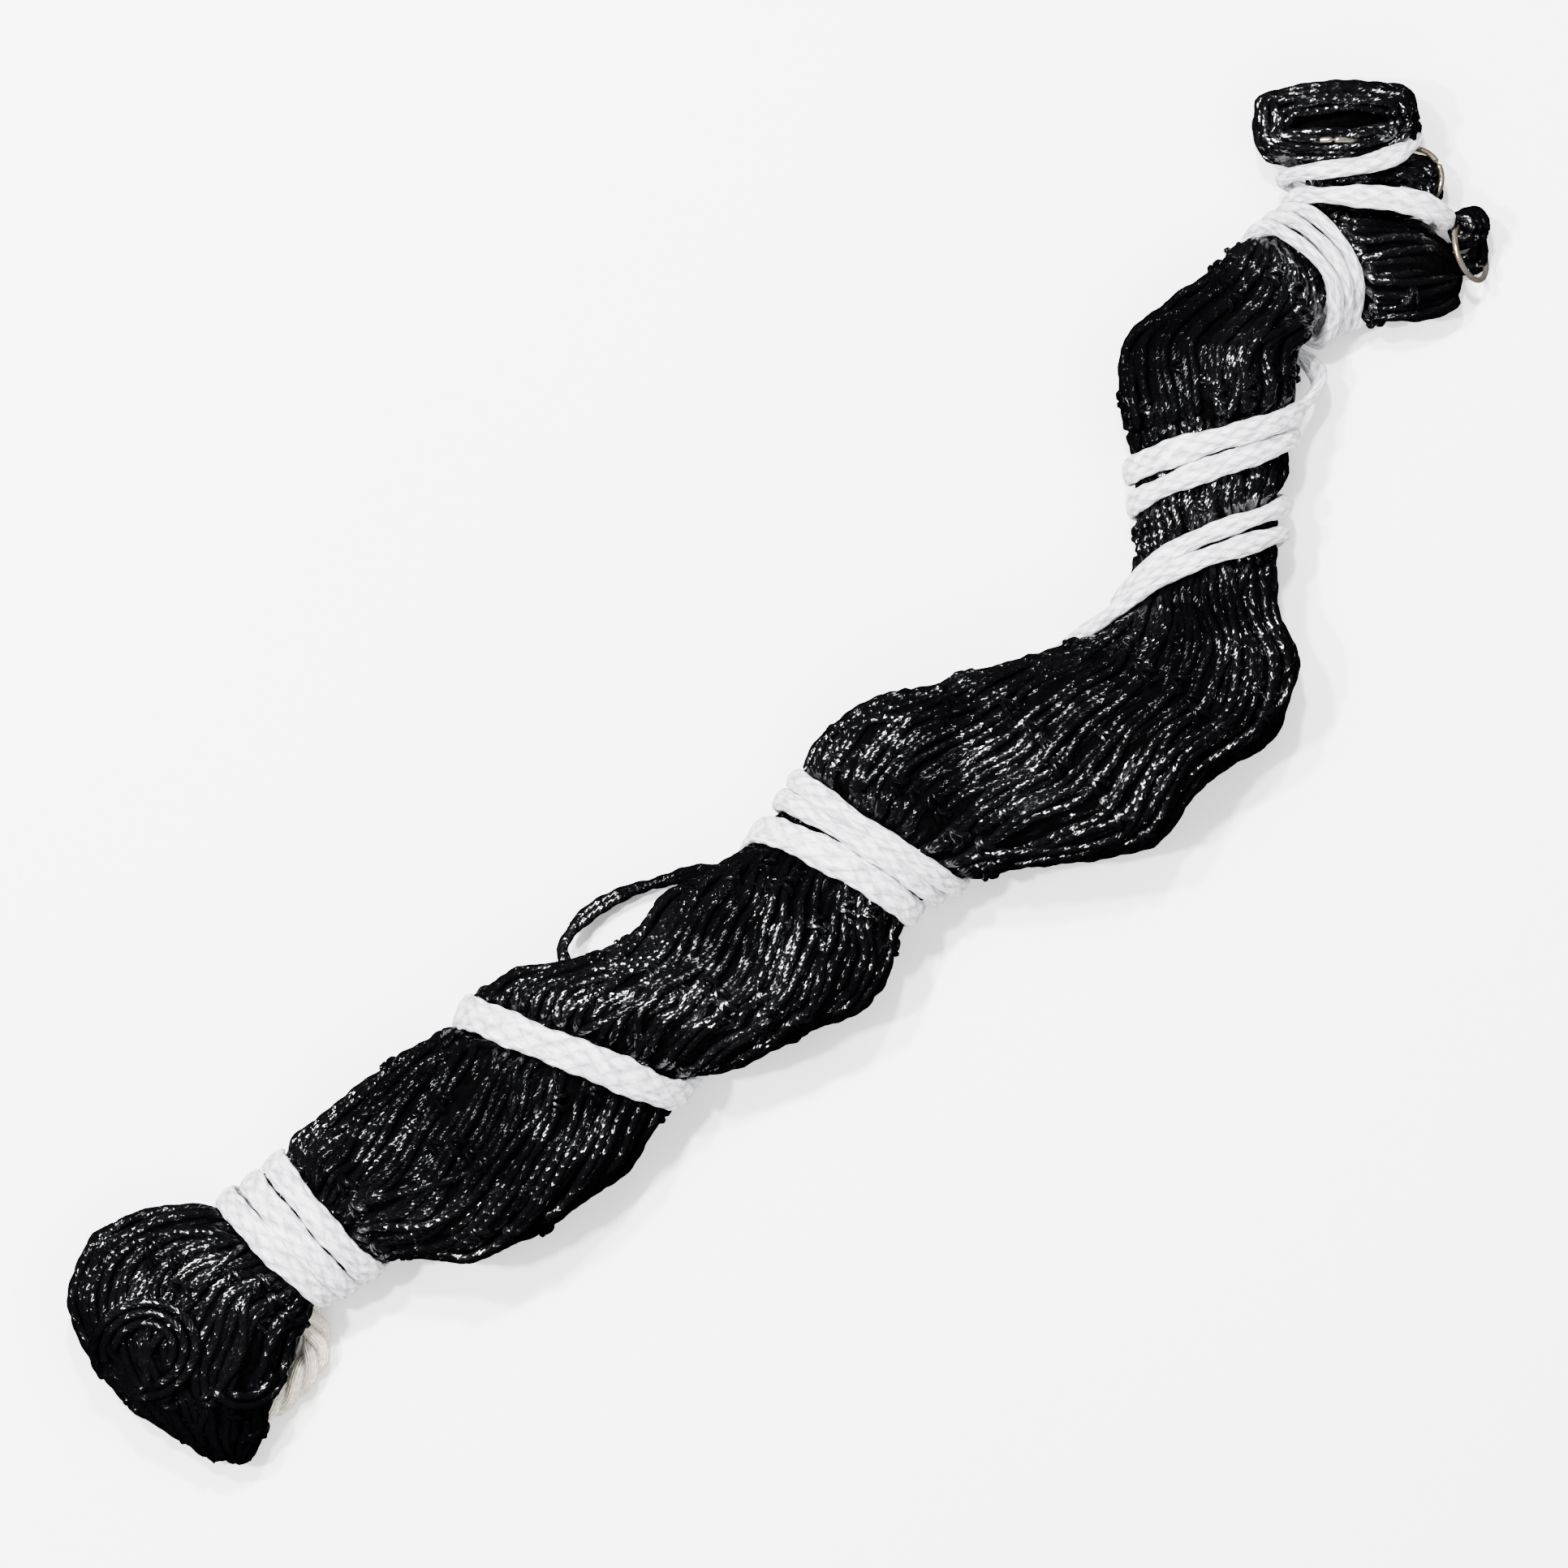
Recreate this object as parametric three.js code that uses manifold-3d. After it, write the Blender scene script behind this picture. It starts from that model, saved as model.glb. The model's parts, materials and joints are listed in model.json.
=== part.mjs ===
// A netting bundle: a black twine tennis net gathered lengthwise into a rope-like bundle, folded
// over at both ends and lashed with one white hollow-braid cord that spirals along it.
// Units are millimetres, +Z is up and the bundle lies on the plane z = 0 with its main run along +X.
import * as THREE from 'three';
import { mergeVertices } from 'three/addons/utils/BufferGeometryUtils.js';
import Module from 'manifold-3d';

const wasm = await Module();
wasm.setup();

// ---- Driving dimensions ----
const CLEARANCE = 0.45; // gap kept between pieces that touch on the real object
const CUT_TOLERANCE = 0.12; // how far a cut surface may be from its exact shape
const SECTION_SIDES = 16; // corners round one cross-section of the netting
const RINGS_PER_RIB = 2; // cross-sections from one rib to the next
const EQUATOR = 0.42; // height of the widest line of a cross-section, as a share of its height
const UNDERSIDE = 1.5; // how early a cross-section's underside turns flat
const TOP_FULLNESS = 0.85; // below 1, a cross-section's top is fuller than an ellipse
const SPLIT_GAP = 0.04; // half the gap between two bulges, in ribs

const CORD_AREA = 24; // braided cord: its width times its thickness stays about the same, mm2
const CORD_THIN = 3.0; // thickness where the cord is pulled flat
const CORD_THICK = 5.2; // thickness where the cord is bunched
const CORD_STEP = 10; // spacing of the cord's cross-sections
const CORD_PROUD = 0.2; // share of the cord's thickness by which its middle stands off the netting
const FLOOR_GAP = 0.4; // the cord runs this far above the plane that the bundle lies on
const CORD_SIDES = 8; // corners round the cord
const ROOM_SIDES = 6; // corners round the room cut for a cord
const SMOOTHING = 3; // rounds of smoothing where one stretch of the cord runs into the next

const RING_RADIUS = 9.2; // steel ring, to the middle of its wire
const WIRE_RADIUS = 0.9;
const RING_FREE_GAP = 0.55; // clearance round the wire of the ring that swings
const SWING_LIMIT = 60; // degrees through which the free ring can lift
const SWING_STEPS = 5; // places at which room is cut for a swinging piece
const RING_SEGMENTS = [28, 8]; // along the wire and round it
const ROOM_SEGMENTS = [18, 6]; // the same for the room cut round a ring that swings

const ROPE_RADIUS = 3.6; // three-strand border rope
const ROPE_SIDES = 10; // corners round it
const FINE_STEP = 6; // spacing of the cross-sections of the rope and of the slack loop
const TWINE_PAIR = [6.0, 3.2]; // width and thickness of two netting twines side by side

// ---- Materials ----
const material = (color, roughness, metalness) =>
  new THREE.MeshStandardMaterial({ color, roughness, metalness });
const TWINE = material(0x0b0b0d, 0.32, 0);
const CORD = material(0xe9e9ef, 0.7, 0);
const ROPE = material(0xe6dccb, 0.75, 0);
const STEEL = material(0xc9c4bb, 0.22, 1);

// ---- Outline of the bundle ----
// Each rib crosses the bundle: the left edge x, y, the right edge x, y, and the height there.
const BUNDLE = [
  [-261, -94, -255, -101, 13],
  [-267, -79, -249, -102, 20],
  [-273, -62, -244, -101, 27],
  [-274.5, -45, -237, -94, 33],
  [-272, -30, -230, -89, 37],
  [-263, -20, -221, -84, 40],
  [-248, -15.5, -214, -77, 41],
  [-230, -19, -207, -72, 40],
  [-217, -26, -204, -70, 37],
  [-208, -27, -197, -71, 36],
  [-199, -25, -188, -71, 37],
  [-190, -24, -179, -70, 39],
  [-184, -20, -172, -73, 43],
  [-177, -19, -163, -80, 47],
  [-167, -18, -152, -85, 50],
  [-153, -16, -138, -86, 52],
  [-139, -15, -121, -85, 52],
  [-130, -15, -101, -83, 50],
  [-121, -14, -75, -70, 45],
  [-111, -10, -57, -71, 50],
  [-99, -11, -43, -73, 52],
  [-85, -16, -30, -73, 52],
  [-67, -19, -18, -76, 51],
  [-50, -13, -7, -75, 49],
  [-35, -13, 2, -68, 46],
  [-24, -13, 7, -62, 43],
  [-14, -11, 14, -59, 41],
  [-4, -7, 24, -57, 41],
  [4, -3, 35, -58, 42],
  [11, 2, 47, -61, 46],
  [22, 6, 61, -67, 50],
  [37, 7, 76, -73, 52],
  [53, 2, 91, -77, 52],
  [69, -1, 106, -71, 51],
  [84, -5, 121, -66, 50],
  [97, -8, 136, -67, 48],
  [106, -9, 149, -58, 46],
  [113, -8, 158, -48, 43],
  [119, -5, 157, -37, 39],
  [125, 0, 162, -26, 36],
  [131, 7, 170, -16, 34],
  [135, 15, 176.5, -5, 35],
  [138, 23, 183, 3, 36],
  [142, 32, 189, 10, 37],
  [146, 42, 195, 19, 40],
  [151, 53, 201, 27, 42],
  [156, 62, 205, 33, 41],
  [163, 66, 210, 34, 38],
  [174, 67, 214, 37, 35],
  [186, 68, 218, 41, 33],
  [198, 70, 222, 48, 31],
  [208, 73, 225, 57, 29],
  [214, 74, 226, 66, 26],
];
// Where the lashing divides the gathered netting into bulges, as rib numbers.
const BULGES = {
  net_tail_tuft: [0, 9],
  net_bulge_1: [9, 18],
  net_bulge_2: [18, 26.6],
  net_bulge_3: [26.6, 33],
  net_elbow: [33, 39.5],
  net_bulge_4: [39.5, 43.5],
  net_neck: [43.5, 52],
};
// The folded-over head, as three rolls lying side by side.
const HEAD = {
  net_head_roll: [
    [231, 104, 226, 90, 16],
    [239, 107, 227, 83.5, 25],
    [249, 103, 238, 80, 28],
    [258, 99, 249, 76, 28],
    [266, 91, 259, 73, 25],
    [271, 85, 265, 73, 19],
    [272, 79, 269.5, 75, 10],
  ],
  net_head_middle_fold: [
    [233, 79, 233, 72, 16],
    [251, 75, 248, 65, 22],
    [263, 71, 257, 57, 23],
    [269, 66, 263, 52, 19],
    [271, 60, 267, 50, 11],
  ],
  net_head_lower_fold: [
    [229, 70, 227, 62, 16],
    [237, 65, 230, 46, 26],
    [243, 61, 226, 31, 29],
    [250, 55, 233, 27, 29],
    [258, 50, 241, 22, 26],
    [261, 43, 250, 19.5, 19],
    [263, 36, 257, 21, 12],
    [264, 30, 260, 24, 8],
  ],
};

// ---- Route of the lashing cord ----
const SPIRAL_SAMPLES = 12; // places worked out from one listed station to the next
const LIST_SAMPLES = 8; // the same along a route listed as points
const TURN_WEIGHT = 4; // ribs that one turn counts as when the stations are joined smoothly
const TURN_NUDGE = 0.01; // turns between which the direction round the bundle is measured
// Along the bundle: rib number, turns made round it (0 at the left edge, a quarter on top, a half
// at the right edge), and the cord's width there.
const LASHING = [
  [8.4, -0.16, 8.2],
  [8.5, 0.1, 8.4],
  [8.6, 0.5, 8.0],
  [9.5, 1.0, 8.4],
  [9.4, 1.5, 8.2],
  [10.5, 2.0, 8.4],
  [10.4, 2.5, 8.2],
  [14.3, 2.75, 9.2],
  [18.0, 3.0, 10.4],
  [18.05, 3.25, 10.8],
  [18.1, 3.5, 9.6],
  [21.9, 3.75, 9.2],
  [25.9, 4.0, 9.6],
  [26.4, 4.25, 9.6],
  [26.1, 4.5, 9.2],
  [26.5, 4.75, 7.6],
  [27.1, 5.0, 6.8],
  [27.2, 5.25, 6.2],
  [26.95, 5.5, 6.2],
  [27.4, 5.75, 6.4],
  [27.95, 6.0, 6.6],
  [27.75, 6.25, 6.2],
  [27.6, 6.5, 6.2],
  [31.5, 6.75, 6.6],
  [36.1, 7.0, 6.0],
  [38.3, 7.1, 6.0],
  [39.65, 7.25, 6.0],
  [40.3, 7.5, 5.4],
  [39.2, 7.75, 6.0],
  [37.6, 8.0, 6.0],
  [39.1, 8.1, 6.0],
  [40.3, 8.25, 6.0],
  [41.0, 8.5, 5.4],
  [41.2, 8.75, 6.4],
  [41.3, 9.0, 7.0],
  [42.3, 9.25, 7.2],
  [43.15, 9.5, 6.2],
  [42.95, 9.75, 7.0],
  [42.45, 10.0, 8.2],
  [43.15, 10.25, 7.8],
  [43.85, 10.5, 6.6],
];
// From the right edge of the last spiral turn under the bundle to the neck: x, y, z and width.
const TO_NECK = [
  [206, 21, 15, 6.4],
  [207.5, 27, 8, 6.0],
  [203, 34.5, 3.4, 5.6],
  [200, 46, 3.4, 4.8],
  [200.5, 60, 3.6, 4.0],
  [206, 70.5, 6, 3.6],
];
const NECK_BASE_MIDDLE = [200, 44, 17];
// Round the neck the cord makes three turns side by side. These are the first and the last of
// them, as x, y, z in step round the loop, from the notch over the top and back underneath.
const NECK_WIDTH = 3.6;
const NECK_TURNS = 3;
const NECK_SHIFT_FROM = 0.6; // share of a turn after which the cord moves on to the next place
const NECK_FIRST = [
  [214.5, 73, 14],
  [218, 66.5, 26],
  [222, 56.5, 31],
  [223.5, 46.5, 29],
  [220.5, 39, 23],
  [216.5, 34.5, 14],
  [211, 31.5, 6],
  [207.5, 39.5, 3.4],
  [206, 51.5, 3.4],
  [207, 64, 3.6],
  [210, 71, 7],
];
const NECK_LAST = [
  [222.5, 73.5, 14],
  [228, 68.5, 26],
  [230.5, 59, 31],
  [231.5, 49.5, 29],
  [229.5, 41.5, 23],
  [225, 35, 14],
  [219, 31.5, 6],
  [216, 37.5, 3.4],
  [215.5, 50.5, 3.4],
  [216.5, 63, 3.6],
  [219, 71.5, 7],
];
// From the neck across the head to the corner ring, back underneath, across it again above the
// first pass and down to the cord's tucked end: x, y, z and width.
const HEAD_LASHING = [
  [226, 76, 15, 4.4],
  [230.5, 73, 27, 5.4],
  [240.5, 66.5, 31, 6.8],
  [249, 61, 31, 7.4],
  [257, 55, 29, 7.6],
  [262.5, 49, 25, 7.0],
  [265, 45, 17, 5.6],
  [264, 45.5, 8, 5.2],
  [258, 50, 3.4, 5.4],
  [248, 58, 3.4, 6.0],
  [238, 68, 3.4, 6.0],
  [230, 78, 4.0, 5.4],
  [226.5, 81.5, 10, 4.8],
  [228, 82, 20, 4.8],
  [233, 79.5, 28.5, 5.4],
  [242, 75.5, 31, 6.2],
  [252, 71.5, 30, 6.2],
  [261.5, 70.5, 25, 5.8],
  [268, 72, 16, 5.2],
  [270, 74, 8, 5.0],
  [265, 76.5, 3.4, 5.4],
  [254, 80, 3.4, 5.4],
];
const HEAD_MIDDLE = [247, 64, 15];

// ---- Other pieces ----
// Border rope: from under the cord's first turns, along the tuft's edge and in beneath it.
const ROPE_ROUTE = [
  [-207, -61, 13],
  [-209.3, -67.5, 10.5],
  [-209.5, -74, 8],
  [-211.5, -80, 6],
  [-215, -84.5, 4.8],
  [-223, -88, 4.2],
  [-231, -90, 4.0],
  [-239, -90, 4.0],
  [-247, -86, 4.0],
];
const ROPE_FACES_FROM = [-230, -60, 14];
// A mesh of the netting's edge that hangs out of the bundle as a slack loop.
const LOOP_ROUTE = [
  [-86, -18, 15],
  [-85, -13, 12],
  [-79, -9.2, 8],
  [-70.5, -7.2, 6],
  [-58.5, -7.6, 5],
  [-47, -10.4, 6],
  [-37, -13, 10],
  [-30.5, -17, 15],
];
const LOOP_FACES_FROM = [-55, -14, -60];
const LOOP_LIFT = 50; // degrees through which the slack loop can lift
// The ring at the netting's corner: middle of the ring, the way from the netting's eye to that
// middle, and the way along the wire where the eye holds it, about which the ring swings.
const END_RING = {
  middle: [266.2, 33.5, 10.2],
  reach: [-0.2008, -0.9798, 0],
  tangent: [-0.5119, 0.1049, 0.8526],
};
const CORNER_EYE = { middle: [271, 39.4, 10.6], radii: [5.8, 6.4, 8.4] };
const FOLD_RING = { middle: [261.7, 62.2, 12.5], reach: [1, 0, 0], tangent: [0, 1, 0] };
const ROLL_RING = { middle: [245, 84, 19.4], reach: [0.866, -0.5, 0], tangent: [0, 0, 1] };

// ---- Solids ----
const vec = (p) => new THREE.Vector3(p[0], p[1], p[2]);
const mix = (a, b, share) => a.map((value, i) => value + (b[i] - value) * share);
const radians = THREE.MathUtils.degToRad;

// A closed solid through rings of points that all have the same count.
function skin(rings) {
  const sides = rings[0].length;
  const points = rings.flat();
  const triangles = [];
  for (let r = 0; r + 1 < rings.length; r++) {
    for (let k = 0; k < sides; k++) {
      const a = r * sides + k;
      const b = r * sides + ((k + 1) % sides);
      triangles.push(a, b, b + sides, a, b + sides, a + sides);
    }
  }
  const last = points.length - sides;
  for (let k = 1; k + 1 < sides; k++) {
    triangles.push(0, k + 1, k, last, last + k, last + k + 1);
  }
  return fromTriangles(points.flatMap((p) => p.toArray()), triangles);
}

// A solid from corner coordinates and triangles, turned so that its faces point out.
function fromTriangles(coordinates, triangles) {
  let volume = 0;
  const corner = (i) => new THREE.Vector3().fromArray(coordinates, triangles[i] * 3);
  for (let i = 0; i < triangles.length; i += 3) {
    volume += corner(i).dot(corner(i + 1).cross(corner(i + 2)));
  }
  const facing = volume > 0 ? triangles : triangles.toReversed();
  const mesh = new wasm.Mesh({
    numProp: 3,
    vertProperties: new Float32Array(coordinates),
    triVerts: new Uint32Array(facing),
  });
  return new wasm.Manifold(mesh);
}

// What is left of a body after the tools are cut out of it, without stray slivers.
function cut(body, tools) {
  const rough = tools.reduce((rest, tool) => rest.subtract(tool), body);
  const left = rough.asOriginal().simplify(CUT_TOLERANCE);
  return left.decompose().reduce((most, piece) => (piece.volume() > most.volume() ? piece : most));
}

function toMesh(name, body, finish) {
  const { vertProperties, triVerts } = body.getMesh();
  const geometry = new THREE.BufferGeometry();
  geometry.setAttribute('position', new THREE.BufferAttribute(vertProperties, 3));
  geometry.setIndex([...triVerts]);
  geometry.computeVertexNormals();
  const mesh = new THREE.Mesh(geometry, finish);
  mesh.name = name;
  return mesh;
}

// ---- Netting ----
// Smooth edges through a list of ribs: across(t) gives the rib at rib number t.
function ribSpline(ribs) {
  const edge = (i) => new THREE.CatmullRomCurve3(ribs.map((r) => vec([r[i], r[i + 1], r[4]])));
  const left = edge(0);
  const right = edge(2);
  return (t) => {
    const share = t / (ribs.length - 1);
    return { left: left.getPoint(share), right: right.getPoint(share) };
  };
}

// The point that is a number of turns round the cross-section at rib number t.
function ribPoint(spline, t, turn, grow) {
  const { left, right } = spline(t);
  const height = left.z;
  const side = -Math.cos(2 * Math.PI * turn);
  const up = Math.sin(2 * Math.PI * turn);
  const middle = EQUATOR * height;
  const top = middle + (height + grow - middle) * Math.pow(Math.max(up, 0), TOP_FULLNESS);
  const below = middle - (middle + grow) * Math.min(1, UNDERSIDE * Math.max(-up, 0));
  const across = new THREE.Vector3(right.x - left.x, right.y - left.y, 0);
  const half = across.length() / 2 + grow;
  across.normalize().multiplyScalar(side * half);
  const z = up > 0 ? top : below;
  return new THREE.Vector3((left.x + right.x) / 2, (left.y + right.y) / 2, z).add(across);
}

function nettingSolid(spline, from, to, grow = 0) {
  const count = Math.max(3, Math.round((to - from) * RINGS_PER_RIB));
  const rings = [];
  for (let r = 0; r <= count; r++) {
    const t = from + ((to - from) * r) / count;
    const ring = [];
    for (let k = 0; k < SECTION_SIDES; k++) {
      ring.push(ribPoint(spline, t, k / SECTION_SIDES, grow));
    }
    rings.push(ring);
  }
  return skin(rings);
}

// ---- Cord and rope ----
// Evenly spaced places along a route, each with its point, outward direction and width.
function evenPlaces(places, step) {
  const along = [0];
  for (let i = 1; i < places.length; i++) {
    along.push(along[i - 1] + places[i].point.distanceTo(places[i - 1].point));
  }
  const total = along[along.length - 1];
  const count = Math.round(total / step);
  const even = [];
  let i = 1;
  for (let k = 0; k <= count; k++) {
    const at = (total * k) / count;
    while (i < places.length - 1 && along[i] < at) i++;
    const share = (at - along[i - 1]) / (along[i] - along[i - 1]);
    even.push({
      point: places[i - 1].point.clone().lerp(places[i].point, share),
      outward: places[i - 1].outward.clone().lerp(places[i].outward, share).normalize(),
      width: places[i - 1].width + (places[i].width - places[i - 1].width) * share,
    });
  }
  return even;
}

// A flat oval tube through the places, its width lying along the surface that it rests on.
// With room round it, its flats and its ends stand that far off the tube without room.
function ovalTube(places, thicknessOf, sides, room = 0) {
  const flats = room > 0 ? 1 / Math.cos(Math.PI / sides) : 1;
  const last = places.length - 1;
  const rings = places.map(({ point, outward, width }, i) => {
    const before = places[Math.max(i - 1, 0)].point;
    const after = places[Math.min(i + 1, last)].point;
    const forward = after.clone().sub(before).normalize();
    const across = forward.clone().cross(outward).normalize();
    const out = across.clone().cross(forward).normalize();
    const past = (i === 0 ? -room : 0) + (i === last ? room : 0);
    const half = flats * (width / 2 + room);
    const thick = flats * (thicknessOf(width) / 2 + room);
    return Array.from({ length: sides }, (_, k) => {
      const angle = (2 * Math.PI * (k + 0.5)) / sides;
      return point
        .clone()
        .addScaledVector(forward, past)
        .addScaledVector(across, Math.cos(angle) * half)
        .addScaledVector(out, Math.sin(angle) * thick);
    });
  });
  return skin(rings);
}

const cordThickness = (width) => Math.min(CORD_THICK, Math.max(CORD_THIN, CORD_AREA / width));

// The lashing where it spirals round the gathered netting.
function spiralPlaces(spline) {
  const stations = LASHING.map(([rib, turn, width]) => vec([rib, turn * TURN_WEIGHT, width]));
  const route = new THREE.CatmullRomCurve3(stations);
  const count = LASHING.length * SPIRAL_SAMPLES;
  const places = [];
  for (let i = 0; i <= count; i++) {
    const { x: rib, y, z: width } = route.getPoint(i / count);
    const turn = y / TURN_WEIGHT;
    const surface = ribPoint(spline, rib, turn, 0);
    const ahead = ribPoint(spline, rib, turn + TURN_NUDGE, 0);
    const round = ahead.sub(ribPoint(spline, rib, turn - TURN_NUDGE, 0));
    const { left, right } = spline(rib);
    const axis = new THREE.Vector3(left.y - right.y, right.x - left.x, 0);
    const outward = round.cross(axis).normalize();
    const thick = cordThickness(width);
    const point = surface.addScaledVector(outward, CORD_PROUD * thick);
    point.z = Math.max(point.z, thick / 2 + FLOOR_GAP);
    places.push({ point, outward, width });
  }
  return places;
}

// A stretch of the lashing through listed points, facing away from a middle.
function listedPlaces(list, middleOf) {
  const curve = new THREE.CatmullRomCurve3(list.map(vec));
  const count = (list.length - 1) * LIST_SAMPLES;
  const places = [];
  for (let i = 0; i <= count; i++) {
    const at = (i / count) * (list.length - 1);
    const before = Math.min(Math.floor(at), list.length - 2);
    const point = curve.getPoint(i / count);
    places.push({
      point,
      outward: point.clone().sub(middleOf(at)).normalize(),
      width: list[before][3] + (list[before + 1][3] - list[before][3]) * (at - before),
    });
  }
  return places;
}

// The turns round the neck, each moved on to the next one's place while it passes underneath.
function neckList() {
  const list = [];
  for (let turn = 0; turn < NECK_TURNS; turn++) {
    NECK_FIRST.forEach((first, i) => {
      const past = Math.max(0, i / NECK_FIRST.length - NECK_SHIFT_FROM);
      const under = past / (1 - NECK_SHIFT_FROM);
      const share = (turn + under) / (NECK_TURNS - 1);
      list.push([...mix(first, NECK_LAST[i], share), NECK_WIDTH]);
    });
  }
  return list;
}

// One smooth route from the first turn at the tuft to the tucked end at the head.
function lashingPlaces(spline) {
  const neck = neckList();
  const middleOfNeck = (at) => {
    const share = Math.min(1, at / neck.length);
    const loop = NECK_FIRST.map((first, i) => mix(first, NECK_LAST[i], share));
    const sum = loop.reduce((total, p) => total.add(vec(p)), new THREE.Vector3());
    return sum.divideScalar(loop.length);
  };
  const places = [
    ...spiralPlaces(spline),
    ...listedPlaces(TO_NECK, () => vec(NECK_BASE_MIDDLE)),
    ...listedPlaces(neck, middleOfNeck),
    ...listedPlaces(HEAD_LASHING, () => vec(HEAD_MIDDLE)),
  ];
  return smooth(evenPlaces(places, CORD_STEP / 3), SMOOTHING);
}

function smooth(places, rounds) {
  let now = places;
  for (let round = 0; round < rounds; round++) {
    now = now.map((place, i) => {
      if (i === 0 || i === now.length - 1) return place;
      const point = now[i - 1].point.clone().add(now[i + 1].point).multiplyScalar(0.5);
      const outward = now[i - 1].outward.clone().add(now[i + 1].outward).normalize();
      return { point: point.lerp(place.point, 0.5), outward, width: place.width };
    });
  }
  return now;
}

// ---- Rings ----
function ringPoint({ middle, reach, tangent }, angle, radius) {
  return vec(middle)
    .addScaledVector(vec(reach), -Math.cos(angle) * radius)
    .addScaledVector(vec(tangent), Math.sin(angle) * radius);
}

function ringSolid(ring, grow = 0, [segments, sides] = RING_SEGMENTS) {
  const normal = vec(ring.reach).cross(vec(ring.tangent));
  const coordinates = [];
  const triangles = [];
  for (let s = 0; s < segments; s++) {
    const angle = (2 * Math.PI * s) / segments;
    for (let k = 0; k < sides; k++) {
      const round = (2 * Math.PI * k) / sides;
      const radius = RING_RADIUS + Math.cos(round) * (WIRE_RADIUS + grow);
      const point = ringPoint(ring, angle, radius);
      point.addScaledVector(normal, Math.sin(round) * (WIRE_RADIUS + grow));
      coordinates.push(...point.toArray());
      const nextRing = ((s + 1) % segments) * sides;
      const here = s * sides;
      const next = (k + 1) % sides;
      triangles.push(here + k, here + next, nextRing + next);
      triangles.push(here + k, nextRing + next, nextRing + k);
    }
  }
  return fromTriangles(coordinates, triangles);
}

// A body turned by some degrees about an axis through a point.
function turned(body, point, axis, degrees) {
  const turn = new THREE.Matrix4().makeRotationAxis(vec(axis).normalize(), radians(degrees));
  const there = new THREE.Matrix4().makeTranslation(...point);
  const back = new THREE.Matrix4().makeTranslation(...point.map((value) => -value));
  return body.transform(there.multiply(turn).multiply(back).elements);
}

// The body at several places of its swing, from where it rests to its limit.
const swept = (body, point, axis, limit) =>
  Array.from({ length: SWING_STEPS + 1 }, (_, i) =>
    turned(body, point, axis, (limit * i) / SWING_STEPS),
  );

function ellipsoid({ middle, radii }) {
  const ball = new THREE.SphereGeometry(1, 20, 12);
  const bare = new THREE.BufferGeometry().setAttribute('position', ball.getAttribute('position'));
  bare.setIndex(ball.getIndex());
  const merged = mergeVertices(bare, 1e-5);
  merged.scale(...radii);
  merged.translate(...middle);
  return fromTriangles([...merged.getAttribute('position').array], [...merged.getIndex().array]);
}

// ---- Assembly ----
const bundle = ribSpline(BUNDLE);
const lashing = lashingPlaces(bundle);
const part = new THREE.Group();

const cordPlaces = evenPlaces(lashing, CORD_STEP);
const tieCord = ovalTube(cordPlaces, cordThickness, CORD_SIDES);
const cordRoom = ovalTube(cordPlaces, cordThickness, ROOM_SIDES, CLEARANCE);

// Places for a round or flat strand of one width, through listed points.
function strandPlaces(route, width, facesFrom) {
  const list = route.map((point) => [...point, width]);
  return evenPlaces(listedPlaces(list, () => vec(facesFrom)), FINE_STEP);
}

const ropePlaces = strandPlaces(ROPE_ROUTE, ROPE_RADIUS * 2, ROPE_FACES_FROM);
const ropeThickness = () => ROPE_RADIUS * 2;
const borderRope = ovalTube(ropePlaces, ropeThickness, ROPE_SIDES);
const ropeRoom = ovalTube(ropePlaces, ropeThickness, ROOM_SIDES, CLEARANCE);

const [pairWidth, pairThickness] = TWINE_PAIR;
const loopPlaces = strandPlaces(LOOP_ROUTE, pairWidth, LOOP_FACES_FROM);
const loopThickness = () => pairThickness;
const loopAxis = vec(LOOP_ROUTE[LOOP_ROUTE.length - 1]).sub(vec(LOOP_ROUTE[0])).toArray();
const edgeLoop = ovalTube(loopPlaces, loopThickness, CORD_SIDES);
const loopRoom = swept(
  ovalTube(loopPlaces, loopThickness, ROOM_SIDES, CLEARANCE),
  LOOP_ROUTE[0],
  loopAxis,
  LOOP_LIFT,
);

const ringPivot = ringPoint(END_RING, 0, RING_RADIUS).toArray();
const endRing = ringSolid(END_RING);
const ringRoom = swept(
  ringSolid(END_RING, RING_FREE_GAP, ROOM_SEGMENTS),
  ringPivot,
  END_RING.tangent,
  SWING_LIMIT,
);
const fixedRings = { fold_ring: FOLD_RING, roll_ring: ROLL_RING };
const fixedRingRooms = Object.values(fixedRings).map((ring) => ringSolid(ring, CLEARANCE));
const rooms = [cordRoom, ropeRoom, ...loopRoom, ...ringRoom, ...fixedRingRooms];

for (const [name, [from, to]] of Object.entries(BULGES)) {
  const start = from === 0 ? from : from + SPLIT_GAP;
  const end = to === BUNDLE.length - 1 ? to : to - SPLIT_GAP;
  part.add(toMesh(name, cut(nettingSolid(bundle, start, end), rooms), TWINE));
}
// The folds of the head rest on the neck and on each other, each keeping clear of those before.
const neckRoom = nettingSolid(bundle, ...BULGES.net_neck, CLEARANCE);
const taken = [neckRoom];
for (const [name, ribs] of Object.entries(HEAD)) {
  const spline = ribSpline(ribs);
  const body = cut(nettingSolid(spline, 0, ribs.length - 1), [...rooms, ...taken]);
  part.add(toMesh(name, body, TWINE));
  taken.push(nettingSolid(spline, 0, ribs.length - 1, CLEARANCE));
}
const eye = cut(ellipsoid(CORNER_EYE), [cordRoom, ...ringRoom, ...taken]);
part.add(toMesh('corner_eye', eye, TWINE));
part.add(toMesh('slack_loop', edgeLoop, TWINE));
part.add(toMesh('tie_cord', tieCord, CORD));
part.add(toMesh('border_rope', borderRope, ROPE));
part.add(toMesh('end_ring', endRing, STEEL));
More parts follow.
